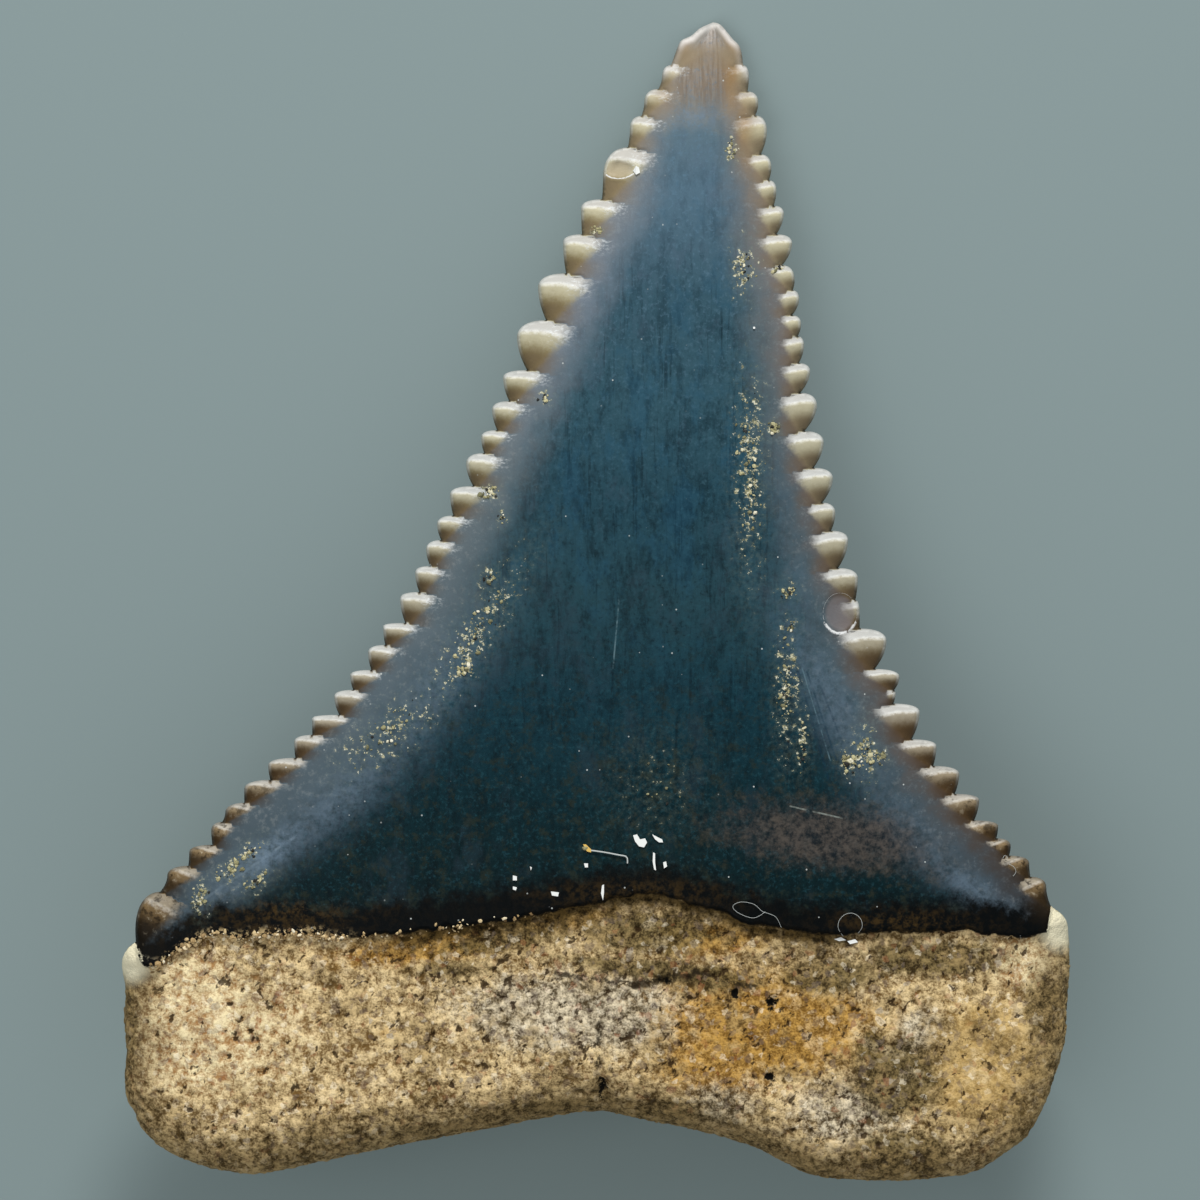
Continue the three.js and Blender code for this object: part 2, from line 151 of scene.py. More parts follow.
RIGHT_SERRATIONS = [
    (749, 77, 747.7, 91), (758.5, 103, 755.5, 115), (767, 131, 761, 154),
    (771.5, 168, 769, 180), (776.5, 190, 774, 205.5), (784, 213, 776.7, 234),
    (792.3, 243, 782.5, 265), (794.8, 280, 793, 290), (799.3, 299, 792.3, 315),
    (801.2, 324, 798, 336), (804.2, 345, 799, 363), (810.3, 371, 800.5, 392.7),
    (817, 405, 804.6, 431), (823.8, 442, 813.8, 467.7), (833, 478, 822.5, 502.5),
    (835.5, 513, 831.3, 530.6), (848.3, 540, 838.3, 568), (858, 578, 855.6, 600),
    (859.8, 612, 860, 628.5), (886.7, 641, 875, 669), (899.8, 677, 894.5, 690),
    (895.8, 692.5, 893.7, 703.6), (919.8, 712, 912, 739.4), (936.7, 746, 933.5, 766),
    (959.5, 774, 955, 794), (979.4, 800, 974.5, 820.6), (998.5, 826, 996.7, 838.5),
    (1011, 846, 1009.4, 855.8), (1029.4, 863, 1030.8, 877), (1046.5, 887, 1050.8, 905.5),
]

ROOT_LEFT = [
    (135.4, 942), (127.7, 948.5), (122, 958.5), (121, 970), (124.5, 992), (123, 1018),
    (125.5, 1049), (123.5, 1077), (125.5, 1098), (133, 1112), (142, 1131), (155, 1145),
]
ROOT_BOTTOM = [
    (155, 1145), (175, 1157), (208, 1169), (245, 1175), (272, 1173),
    (310, 1165), (400, 1146), (492, 1129), (548, 1118), (596, 1112), (640, 1120), (700, 1132),
    (751, 1147), (784, 1163), (815, 1177), (860, 1181), (900, 1182), (940, 1179), (975, 1173),
    (1001, 1158), (1029, 1137),
]
ROOT_RIGHT = [
    (1050.8, 905.5), (1057.4, 910.8), (1064, 916.5), (1068.2, 925), (1070, 943), (1070.8, 965),
    (1069.5, 988), (1067.8, 1013), (1066, 1040), (1056, 1078), (1043, 1112), (1029, 1137),
]
ENAMEL_FRONT = [
    (135.4, 940), (138, 960), (144, 967), (153, 968), (166, 962), (180, 949), (199, 941),
    (216, 935), (240, 941), (262, 936), (290, 935), (340, 938), (390, 935),
    (480, 923), (560, 910), (610, 899), (655, 894), (700, 906), (745, 921), (800, 933),
    (880, 934), (960, 931), (1008, 936), (1034, 937), (1047, 932), (1051, 905.5),
]
ENAMEL_BACK = [
    (135.4, 942), (160, 930), (230, 912), (330, 885), (440, 848), (530, 815), (600, 803),
    (670, 812), (760, 842), (860, 872), (960, 890), (1020, 898), (1050.8, 905.5),
]

# Thickness of the crown along its middle: height above the lobes, depth behind the flat face
CROWN_DEPTHS = [
    (0, 6.2), (5, 6), (8, 5.5), (11, 4.85), (15, 3.9), (20, 3.0), (25, 2.3), (30, 1.62),
    (33, 1.22), (34.8, 0.95), (35.5, 0.7), (TOOTH_HEIGHT, 0.45),
]


def place(points):
    """Pixels of the photo as millimetres in the tooth's frame."""
    points = np.asarray(points, float)
    return np.stack([
        (points[..., 0] - MIDDLE_COLUMN) * MM_PER_PIXEL,
        (LOBE_ROW - points[..., 1]) * MM_PER_PIXEL,
    ], axis=-1)


def smoothstep(value):
    t = np.clip(value, 0, 1)
    return t * t * (3 - 2 * t)


def spline(points, samples=12):
    """Points along a smooth curve through the given ones."""
    ends = np.vstack([points[:1], points, points[-1:]])
    t = np.linspace(0, 1, samples, endpoint=False)[:, None]
    pieces = []
    for p0, p1, p2, p3 in zip(ends, ends[1:], ends[2:], ends[3:]):
        v0, v1 = (p2 - p0) / 2, (p3 - p1) / 2
        cubic = 2 * p1 - 2 * p2 + v0 + v1
        square = -3 * p1 + 3 * p2 - 2 * v0 - v1
        pieces.append(((cubic * t + square) * t + v0) * t + p1)
    return np.vstack([*pieces, points[-1:]])


def evenly(line, spacing):
    """The same line with its points a given distance apart."""
    along = np.concatenate([[0], np.cumsum(np.linalg.norm(np.diff(line, axis=0), axis=1))])
    at = np.linspace(0, along[-1], max(2, round(along[-1] / spacing) + 1))
    return np.column_stack([np.interp(at, along, line[:, k]) for k in range(line.shape[1])])


def bezier(*controls):
    t = np.linspace(0, 1, 20)[:, None]
    points = [np.asarray(c)[None] for c in controls]
    while len(points) > 1:
        points = [a + (b - a) * t for a, b in zip(points, points[1:])]
    return points[0]


def serrated_edge(tip, serrations):
    """One cutting edge from the tip down: its points, how near each is to a crest, its notches."""
    points = [evenly(spline(place(tip)), EDGE_SPACING)]
    crests = [np.ones(len(points[0]))]
    notches = [place(tip[0]), place(tip[-1])]
    for peak_column, peak_row, notch_column, notch_row in serrations:
        start = notches[-1]
        peak = place((peak_column, peak_row))
        end = place((notch_column, notch_row))
        corner = np.array([peak[0], start[1]])
        crest = bezier(
            start, start + (corner - start) * KNOB_ROUNDNESS,
            peak + (corner - peak) * KNOB_ROUNDNESS, peak,
        )
        bend = np.array([peak[0], peak[1] + (end[1] - peak[1]) * TAPER_START])
        taper = bezier(peak, bend, end)
        run = evenly(np.vstack([crest, taper[1:]]), EDGE_SPACING)[1:]
        points.append(run)
        crests.append(np.sin(np.pi * np.arange(1, len(run) + 1) / len(run)))
        notches.append(end)
    return np.vstack(points), np.concatenate(crests), np.array(notches)


left_edge, left_crests, left_notches = serrated_edge(TIP_LEFT, LEFT_SERRATIONS)
right_edge, right_crests, right_notches = serrated_edge(TIP_RIGHT, RIGHT_SERRATIONS)
root_left = evenly(spline(place(ROOT_LEFT)), EDGE_SPACING)
root_bottom = evenly(spline(place(ROOT_BOTTOM)), EDGE_SPACING)
root_right = evenly(spline(place(ROOT_RIGHT)), EDGE_SPACING)
root_outline = np.vstack([root_left, root_bottom[1:], root_right[-2::-1]])
crown_outline = np.vstack([right_edge[::-1], left_edge[1:]])


def plain_side(notches, root):
    """A side of the tooth without its serrations, from the lobes up."""
    points = np.vstack([notches, place(root[1:])])
    return points[np.argsort(points[:, 1])]


left_side = plain_side(left_notches, ROOT_LEFT)
right_side = plain_side(right_notches, ROOT_RIGHT)
enamel_front = place(ENAMEL_FRONT)
enamel_back = place(ENAMEL_BACK)


class Line:
    """Measures distances from a line of closely spaced points."""

    def __init__(self, points):
        self.points = points
        self.tree = KDTree(len(points))
        for i, (x, y) in enumerate(points):
            self.tree.insert((x, y, 0), i)
        self.tree.balance()

    def nearest(self, p):
        """For each point, its distance from the line and the index of the nearest point on it."""
        index = np.array([self.tree.find((x, y, 0))[1] for x, y in p])
        last = len(self.points) - 1
        distance = np.linalg.norm(p - self.points[index], axis=1)
        for a, b in ((np.maximum(index - 1, 0), index), (index, np.minimum(index + 1, last))):
            start, step = self.points[a], self.points[b] - self.points[a]
            square = np.maximum((step ** 2).sum(1), 1e-12)
            t = np.clip(((p - start) * step).sum(1) / square, 0, 1)
            gap = np.linalg.norm(p - start - step * t[:, None], axis=1)
            distance = np.minimum(distance, gap)
        return distance, index


crown_line = Line(crown_outline)
root_line = Line(root_outline)
left_plain = Line(evenly(left_notches, 0.15))
right_plain = Line(evenly(right_notches, 0.15))
crown_middles = (
    NOTCH_MIDDLE + (CREST_MIDDLE - NOTCH_MIDDLE) * np.concatenate([right_crests[::-1], left_crests[1:]])
)


def root_rims():
    """Front and back of the upright wall round the root, at each point of its outline."""
    shares = np.ones(len(root_outline))
    for side, at in ((root_left, slice(None, len(root_left))),
                     (root_right, slice(-1, -len(root_right) - 1, -1))):
        shares[at] = smoothstep(np.linspace(0, 1, len(side)) / SHOULDER_SHARE)
    front = NOTCH_MIDDLE + (RIM_FRONT - NOTCH_MIDDLE) * shares
    back = NOTCH_MIDDLE + (RIM_BACK - NOTCH_MIDDLE) * shares
    return front, back, shares


rim_front, rim_back, rim_shares = root_rims()
rest = {"slope": 0.0, "lift": math.inf}


def cross_position(p):
    left = np.interp(p[:, 1], left_side[:, 1], left_side[:, 0])
    right = np.interp(p[:, 1], right_side[:, 1], right_side[:, 0])
    return np.clip((2 * p[:, 0] - left - right) / np.maximum(right - left, 1e-9), -1, 1)


def rounding(distance, radius):
    """0 on an outline, 1 further in than the radius, along a quarter of a circle."""
    t = 1 - np.clip(distance / radius, 0, 1)
    return np.sqrt(1 - t * t)


def crown_depth(y):
    """Smooth curve through CROWN_DEPTHS."""
    table = np.array(CROWN_DEPTHS, float)
    slopes = np.gradient(table[:, 1], table[:, 0])
    i = np.clip(np.searchsorted(table[:, 0], y) - 1, 0, len(table) - 2)
    span = table[i + 1, 0] - table[i, 0]
    t = np.clip((y - table[i, 0]) / span, 0, 1)
    rise = table[i + 1, 1] - table[i, 1]
    m0, m1 = slopes[i] * span, slopes[i + 1] * span
    return table[i, 1] + t * (m0 + t * (3 * rise - 2 * m0 - m1 + t * (m0 + m1 - 2 * rise)))


def inward(p):
    """How far each point lies inside the two lines of notches; below 0 out on the serrations."""
    sides = []
    for line, notches, sign in ((left_plain, left_notches, 1), (right_plain, right_notches, -1)):
        distance, _ = line.nearest(p)
        edge = np.interp(p[:, 1], notches[::-1, 1], notches[::-1, 0])
        sides.append(distance * np.sign(sign * (p[:, 0] - edge) + 1e-9))
    return np.array(sides)


def along_serration(p, depths):
    """Where each point is between the notches above and below it, 0 to 1, on the nearer side."""
    nearer_left = depths[0] < depths[1]
    depth = np.where(nearer_left, depths[0], depths[1])
    low = smoothstep((DROOP_BELOW - p[:, 1]) / 6)
    level = p[:, 1] + SHELF_DROOP * (1 + low) * np.clip(depth, -0.6 * low, None)
    share = np.zeros(len(p))
    pitch = np.ones(len(p))
    for notches, here in ((left_notches, nearer_left), (right_notches, ~nearer_left)):
        rows = notches[::-1, 1]
        i = np.clip(np.searchsorted(rows, level[here]), 1, len(rows) - 1)
        pitch[here] = rows[i] - rows[i - 1]
        share[here] = np.clip((rows[i] - level[here]) / pitch[here], 0, 1)
    return share, pitch, depth


def serration_relief(p, depths):
    """Each serration is a wedge: a shelf that faces the tip, and a front that tapers to the notch."""
    share, pitch, depth = along_serration(p, depths)
    rise = np.clip(share / SHELF_RISE, 0, 1)
    fall = 1 - np.clip((share - SHELF_RISE) / (1 - SHELF_RISE), 0, 1) ** 1.6
    fade = smoothstep(wedge_share(share, pitch, depth) / 0.6)
    low = LOW_RELIEF + (1 - LOW_RELIEF) * smoothstep((p[:, 1] - LOW_SERRATIONS) / 5)
    height = SHELF_HEIGHT * smoothstep(pitch / FULL_PITCH) * low
    fade = fade * smoothstep((TOOTH_HEIGHT - 0.8 - p[:, 1]) / 0.8)
    return height * (np.where(share < SHELF_RISE, rise, fall) - 0.6) * fade


def wedge_share(share, pitch, depth):
    """1 on the line of notches, 0 at the inner end of a serration's wedge."""
    reach = np.clip(SHELF_REACH * np.minimum(pitch, 1.5), 0.12, 0.75)
    reach = reach * (1 - 0.65 * np.clip((share - SHELF_RISE) / (1 - SHELF_RISE), 0, 1))
    return 1 - depth / reach


# Chips broken out of the front: column, row, half width and half height in pixels, depth in mm
CHIPS = [(619, 169, 16, 9.5, 0.15), (840, 613, 17, 20, 0.11)]
FAR = 9.0  # stands for any distance beyond a chip's reach


def chips(p):
    """Depth of the chips at each point, its distance from their middles, and from the rims below."""
    hollow = np.zeros(len(p))
    middle = np.full(len(p), FAR)
    rim = np.full(len(p), FAR)
    for column, row, half_width, half_height, depth in CHIPS:
        size = np.array([half_width, half_height]) * MM_PER_PIXEL
        offset = (p - place((column, row))) / size
        radius = np.sqrt((offset ** 2).sum(1))
        hollow += depth * np.clip(1 - radius ** 2, 0, 1) ** 0.7
        hollow -= CHIP_RIM * np.exp(-((radius - 1.05) / 0.14) ** 2) * smoothstep(0.2 - offset[:, 1])
        middle = np.minimum(middle, radius)
        thinner = 1 + 14 * smoothstep((offset[:, 1] + 0.5) / 0.5)
        rim = np.where(radius < 2, 1 + (radius - 1) * thinner, rim)
    return hollow, middle, rim


def wander(p, size, seed):
    """Smooth irregularity between about -1 and 1."""
    return np.array([noise.noise((x / size, y / size, seed)) for x, y in p])


def above_enamel_line(p, line, size=RAGGED_SIZE, reach=RAGGED_REACH):
    """Height above the ragged lower border of the enamel."""
    ragged = reach * wander(p, size, 3.7) + 0.4 * reach * wander(p, 0.3 * size, 8.1)
    return p[:, 1] - np.interp(p[:, 0], line[:, 0], line[:, 1]) + ragged


def front_depth(p):
    depths = inward(p)
    face = FRONT_BULGE * (1 - cross_position(p) ** 2)
    crown_gap, near = crown_line.nearest(p)
    middle = crown_middles[near]
    hollow, _, _ = chips(p)
    top = face + serration_relief(p, depths) - hollow
    crown = middle + (top - middle) * rounding(crown_gap, EDGE_ROUNDING)
    root_gap, near = root_line.nearest(p)
    rim = rim_front[near]
    root_face = face - ENAMEL_STEP + ROOT_WAVES * wander(p, 2.2, 11.3)
    radius = SHOULDER_ROUNDING + (FRONT_ROUNDING - SHOULDER_ROUNDING) * rim_shares[near]
    root = rim + (root_face - rim) * rounding(root_gap, radius)
    share = smoothstep(above_enamel_line(p, enamel_front) / 0.16 + 0.5)
    return root + (crown - root) * share


def back_depth(p):
    depths = inward(p)
    middle = -crown_depth(p[:, 1])
    face = EDGE_BACK + (middle - EDGE_BACK) * (1 - cross_position(p) ** 2)
    crown_gap, near = crown_line.nearest(p)
    edge = crown_middles[near]
    top = face - 0.8 * serration_relief(p, depths)
    crown = edge + (top - edge) * rounding(crown_gap, EDGE_ROUNDING)
    torus = (
        TORUS_DEPTH
        * np.exp(-((p[:, 0] / TORUS_HALF_WIDTH) ** 4))
        * np.exp(-(((p[:, 1] - TORUS_LEVEL) / TORUS_HALF_HEIGHT) ** 2))
    )
    root_gap, near = root_line.nearest(p)
    rim = rim_back[near]
    radius = SHOULDER_ROUNDING + (BACK_ROUNDING - SHOULDER_ROUNDING) * rim_shares[near]
    root = rim + (-(LOBE_DEPTH + torus) - rim) * rounding(root_gap, radius)
    line = np.interp(p[:, 0], enamel_back[:, 0], enamel_back[:, 1])
    share = smoothstep((line + NECK_START - p[:, 1]) / NECK_LENGTH)
    depth = crown * (1 - share) + root * share
    return np.maximum(depth, p[:, 1] * rest["slope"] - rest["lift"])


def settle():
    """The tilt at which the root and the tip touch the same level surface behind the tooth."""
    tip_start = 0.7 * TOOTH_HEIGHT
    low_y = np.arange(0.1, tip_start, 0.1)
    high_y = np.arange(tip_start, TOOTH_HEIGHT, 0.1)
    middle = (
        np.interp(high_y, left_side[:, 1], left_side[:, 0])
        + np.interp(high_y, right_side[:, 1], right_side[:, 0])
    ) / 2
    swelling = back_depth(np.column_stack([0 * low_y, low_y]))
    tip = back_depth(np.column_stack([middle, high_y]))
    low, high = 0.0, 1.0
    for _ in range(40):
        slope = (low + high) / 2
        tip_lift = (high_y * slope - tip).max() - WORN_TIP
        swelling_lift = (low_y * slope - swelling).max() - WORN_ROOT
        if tip_lift > swelling_lift:
            high = slope
        else:
            low = slope
    rest["slope"] = low
    rest["lift"] = (low_y * low - swelling).max() - WORN_ROOT


def crossings(outline, y):
    """Where a level line crosses the outline, from left to right."""
    a, b = outline, np.roll(outline, -1, axis=0)
    hit = (a[:, 1] <= y) != (b[:, 1] <= y)
    a, b = a[hit], b[hit]
    return np.sort(a[:, 0] + (y - a[:, 1]) / (b[:, 1] - a[:, 1]) * (b[:, 0] - a[:, 0]))


def points_inside(outline, spacing):
    """A slightly uneven honeycomb of points inside the outline."""
    shake = np.random.default_rng(round(spacing * 1e4))
    low, high = outline.min(0), outline.max(0)
    rows = []
    for k, y in enumerate(np.arange(low[1], high[1], spacing * math.sqrt(3) / 2)):
        x = np.arange(low[0] + (k % 2) * spacing / 2, high[0], spacing)
        limits = crossings(outline, y + 1e-7)
        inside = np.searchsorted(limits, x) % 2 == 1
        rows.append(np.column_stack([x[inside], np.full(inside.sum(), y)]))
    points = np.vstack(rows)
    return points + shake.uniform(-0.12, 0.12, points.shape) * spacing


def face_points(outline, enamel, spacings):
    """Points of one face: close together on the root and near the serrations, wider between."""
    root_spacing, serrated_spacing, crown_spacing = spacings
    between = (serrated_spacing + crown_spacing) / 2
    border = Line(outline)
    chosen = []
    for zone, spacing in enumerate((root_spacing, serrated_spacing, between, crown_spacing)):
        p = points_inside(outline, spacing)
        above = p[:, 1] - np.interp(p[:, 0], enamel[:, 0], enamel[:, 1])
        depth = inward(p).min(0)
        zones = np.full(len(p), 2)
        zones[(above >= BLENDED_ABOVE) & (depth >= BLENDED_REACH)] = 3
        zones[depth < SERRATED_REACH] = 1
        zones[above < ROOT_REACH] = 0
        p = p[zones == zone]
        gap, _ = border.nearest(p)
        chosen.append(p[gap > 0.55 * spacing])
    return np.vstack(chosen)


def triangulate(border, inner):
    """Triangles over the border's inside; border points come first in the numbering."""
    points = [Vector(p) for p in np.vstack([border, inner])]
    n = len(border)
    edges = [(i, (i + 1) % n) for i in range(n)]
    made, _, faces, origins, _, _ = delaunay_2d_cdt(points, edges, [], 1, 1e-7)
    index = [o[0] if o else None for o in origins]
    if None in index or len(made) > len(points):
        raise ValueError("the outline of the tooth crosses itself")
    return [tuple(index[v] for v in f) for f in faces]


def rim_columns(inset, normals):
    """For each point of the outline, points from the front face over the rim to the back one."""
    steps = np.linspace(1, 0, 9)[:-1] ** 2
    shares = np.concatenate([steps, [0], [0], steps[::-1]])
    sampled = [outline + normals * (inset * s)[:, None] for s in shares]
    n_front = len(steps)
    depth = [front_depth(p) for p in sampled[:n_front]]
    depth += [outline_front, outline_back]
    depth += [back_depth(p) for p in sampled[n_front + 2:]]
    columns = []
    for j in range(len(outline)):
        path = np.array([[*sampled[k][j], depth[k][j]] for k in range(len(shares))])
        if inset[j] < 1e-6:
            columns.append(path[n_front:n_front + 1])
        else:
            columns.append(evenly(path, RIM_SPACING))
    return columns


def stitch(points, left, right):
    """Fills the strip between two runs of vertices across the shorter diagonals."""
    faces = []
    i = j = 0
    while i < len(left) - 1 or j < len(right) - 1:
        along_left = math.dist(points[left[i + 1]], points[right[j]]) if i < len(left) - 1 else math.inf
        along_right = math.dist(points[left[i]], points[right[j + 1]]) if j < len(right) - 1 else math.inf
        if along_left < along_right:
            faces.append((left[i], left[i + 1], right[j]))
            i += 1
        else:
            faces.append((left[i], right[j + 1], right[j]))
            j += 1
    return [f for f in faces if len(set(f)) == 3]


settle()
outline = np.vstack([left_edge, root_outline[1:], right_edge[-2:0:-1]])
n_left, n_root = len(left_edge), len(root_outline)
outline_front = np.concatenate([
    NOTCH_MIDDLE + (CREST_MIDDLE - NOTCH_MIDDLE) * left_crests, rim_front[1:],
    (NOTCH_MIDDLE + (CREST_MIDDLE - NOTCH_MIDDLE) * right_crests)[-2:0:-1],
])
outline_back = outline_front.copy()
outline_back[n_left:n_left + n_root - 1] = rim_back[1:]


def outline_normals():
    """Directions into the tooth, square to its outline."""
    along = np.roll(outline, -1, axis=0) - np.roll(outline, 1, axis=0)
    for _ in range(8):
        along = (np.roll(along, -1, axis=0) + 2 * along + np.roll(along, 1, axis=0)) / 4
    along /= np.linalg.norm(along, axis=1)[:, None]
    return np.column_stack([-along[:, 1], along[:, 0]])


def rim_insets():
    inset = np.zeros(len(outline))
    at = np.arange(n_root - 2)
    from_corner = np.minimum(at, at[::-1]) * EDGE_SPACING
    inset[n_left:n_left + n_root - 2] = RIM_INSET * smoothstep((from_corner + EDGE_SPACING) / 1.2)
    return inset


def tooth_surface():
    """Vertices and triangles in the tooth's frame, which are on the front, and on the root's rim."""
    inset = rim_insets()
    normals = outline_normals()
    border = outline + normals * inset[:, None]
    columns = rim_columns(inset, normals)
    points, column_ids, on_rim = [], [], []
    for column in columns:
        column_ids.append(list(range(len(points), len(points) + len(column))))
        points.extend(column.tolist())
        on_rim.extend([len(column) > 1] * len(column))
    faces = []
    for ids, after in zip(column_ids, column_ids[1:] + column_ids[:1]):
        faces += stitch(points, ids, after)

    sides = (
        (front_depth, enamel_front, (ROOT_SPACING, SERRATED_SPACING, CROWN_SPACING), 0),
        (back_depth, enamel_back, (ROOT_BACK_SPACING, SERRATED_BACK_SPACING, CROWN_BACK_SPACING), -1),
    )
    frontness = np.full(len(points), 0.5)
    for depth_of, enamel, spacings, end in sides:
        inner = face_points(border, enamel, spacings)
        first = len(points)
        points.extend(np.column_stack([inner, depth_of(inner)]).tolist())
        ids = [column[end] for column in column_ids] + list(range(first, len(points)))
        for a, b, c in triangulate(border, inner):
            faces.append((ids[a], ids[b], ids[c]) if end == 0 else (ids[a], ids[c], ids[b]))
        frontness = np.concatenate([frontness, np.full(len(inner), 1.0 + end)])
        on_rim.extend([False] * len(inner))
    return np.array(points), faces, frontness, np.array(on_rim)


def to_world(points):
    """Lays the tooth on its back, before it is moved over the origin."""
    tilt = math.atan(rest["slope"])
    y, z = points[:, 1], points[:, 2]
    return np.column_stack([
        points[:, 0],
        y * math.cos(tilt) + z * math.sin(tilt),
        (rest["lift"] + z) * math.cos(tilt) - y * math.sin(tilt),
    ]) * MM


# The smooth shoulders beside the ends of the cutting edges: column and row, and size in mm
SHOULDERS = [((130, 960), 0.6), ((1062, 925), 0.66)]

# Width in mm of the strip beside the serrations, left and right
MARGIN_WIDTHS = (1.9, 1.8)

# Soft patches by kind: column, row, half width, half height, turn in degrees, strength
PATCHES = {
    "tan": [
        (732, 76, 8, 32, 0, 1.1), (683, 55, 8, 9, 0, 1.0), (744, 130, 8, 30, 0, 0.9),
        (664, 96, 8, 14, 0, 0.5),
    ],
    # paler flanks: partly a painted sheen of reflected light, partly paler enamel
    "pale_and_sheen": [
        (694, 118, 34, 8, 0, 0.7), (250, 862, 64, 15, 34, 1.3), (330, 800, 80, 24, 38, 0.6),
        (430, 690, 90, 26, 54, 0.45), (985, 892, 52, 13, -31, 0.9), (925, 835, 60, 22, -42, 0.6),
        (838, 705, 22, 90, 30, 0.6), (800, 560, 16, 90, 8, 0.3),
    ],
    "purple": [(835, 836, 118, 34, -6, 1.0), (930, 862, 40, 20, -30, 0.6)],
    "rust": [
        (290, 908, 62, 17, 4, 1.0), (345, 850, 30, 20, 0, 0.35), (905, 922, 56, 11, -2, 0.8),
        (640, 893, 80, 11, 0, 0.7), (156, 916, 12, 16, 0, 0.9),
    ],
    "cream": [(200, 1030, 90, 60, 0, 0.9), (185, 975, 60, 26, 0, 0.7), (1022, 962, 34, 20, 0, 1.0)],
    "ochre": [
        (440, 946, 90, 15, 7, 1.0), (770, 1022, 95, 48, -8, 1.0), (555, 922, 60, 12, 10, 0.8),
        (720, 1060, 70, 34, 0, 0.8), (710, 938, 60, 18, 0, 0.8), (400, 1040, 60, 30, 0, 0.3),
    ],
    "grey": [
        (585, 1012, 115, 36, 0, 1.0), (722, 1095, 34, 34, 0, 0.8), (846, 1110, 50, 38, 0, 0.8),
        (924, 1033, 26, 24, 0, 0.9),
    ],
    "olive": [
        (897, 1080, 36, 34, 8, 1.2), (872, 1052, 18, 22, 0, 0.9), (935, 958, 68, 16, 0, 1.1),
        (832, 976, 46, 17, 4, 1.0), (713, 978, 18, 13, 0, 1.1), (500, 940, 80, 14, 8, 0.8),
        (1046, 1010, 20, 44, 0, 0.8), (903, 1156, 44, 22, 0, 1.2), (650, 932, 60, 20, 0, 1.0),
        (660, 970, 90, 9, -6, 1.0), (450, 968, 50, 12, 0, 0.6), (555, 1108, 52, 11, 0, 0.8),
        (655, 1114, 56, 14, 8, 0.7), (330, 1140, 130, 26, 8, 0.5), (128, 1030, 8, 50, 0, 0.8),
    ],
    "smooth": [(985, 1068, 56, 60, 0, 1.0), (770, 1040, 80, 36, 0, 0.8)],
    "pit": [
        (735, 993, 4, 6, 20, 1.0), (772, 1003, 6, 7, 0, 1.0), (770, 1077, 6, 5, 0, 1.0),
        (603, 1088, 5, 12, 0, 0.9), (664, 981, 8, 4, 0, 0.9), (787, 593, 3, 4, 0, 1.0),
        (848, 751, 4, 3, 0, 0.9), (454, 672, 3, 3, 0, 1.0), (743, 272, 3, 3, 0, 1.0),
    ],
}


def film_patches():
    """A film round every cluster of crumbs, fainter where they are few."""
    return [(column, row, 1.5 * half_width, 1.6 * half_height, turn,
             0.85 * min(1, 0.3 + 10 * count / (half_width * half_height)))
            for column, row, half_width, half_height, turn, count in CRUMBS]


def patch_strength(p, patches):
    """How strongly a list of soft patches covers each point."""
    strength = np.zeros(len(p))
    for column, row, half_width, half_height, turn, most in patches:
        angle = math.radians(turn)
        d = (p - place((column, row))) / MM_PER_PIXEL
        across = d[:, 0] * math.cos(angle) + d[:, 1] * math.sin(angle)
        up = d[:, 1] * math.cos(angle) - d[:, 0] * math.sin(angle)
        spread = (across / half_width) ** 2 + (up / half_height) ** 2
        strength = np.maximum(strength, most * np.exp(-0.7 * spread))
    return strength


def shoulder_strength(points):
    """How strongly the smooth shoulders cover each point, on the front only."""
    strength = np.zeros(len(points))
    for corner, size in SHOULDERS:
        gap = np.linalg.norm(points[:, :2] - place(corner), axis=1)
        strength = np.maximum(strength, smoothstep(1.6 - gap / size))
    return strength * smoothstep((points[:, 2] + 2.0) / 1.2)


def new_object(name, vertices, faces):
    mesh = bpy.data.meshes.new(name)
    mesh.from_pydata(vertices.tolist(), [], faces)
    mesh.validate()
    piece = bpy.data.objects.new(name, mesh)
    bpy.context.scene.collection.objects.link(piece)
    mesh.shade_smooth()
    return piece


def set_attribute(mesh, name, values):
    kind = "FLOAT_VECTOR" if np.ndim(values) == 2 else "FLOAT"
    attribute = mesh.attributes.new(name, kind, "POINT")
    field = "vector" if kind == "FLOAT_VECTOR" else "value"
    attribute.data.foreach_set(field, np.asarray(values, np.float32).ravel())


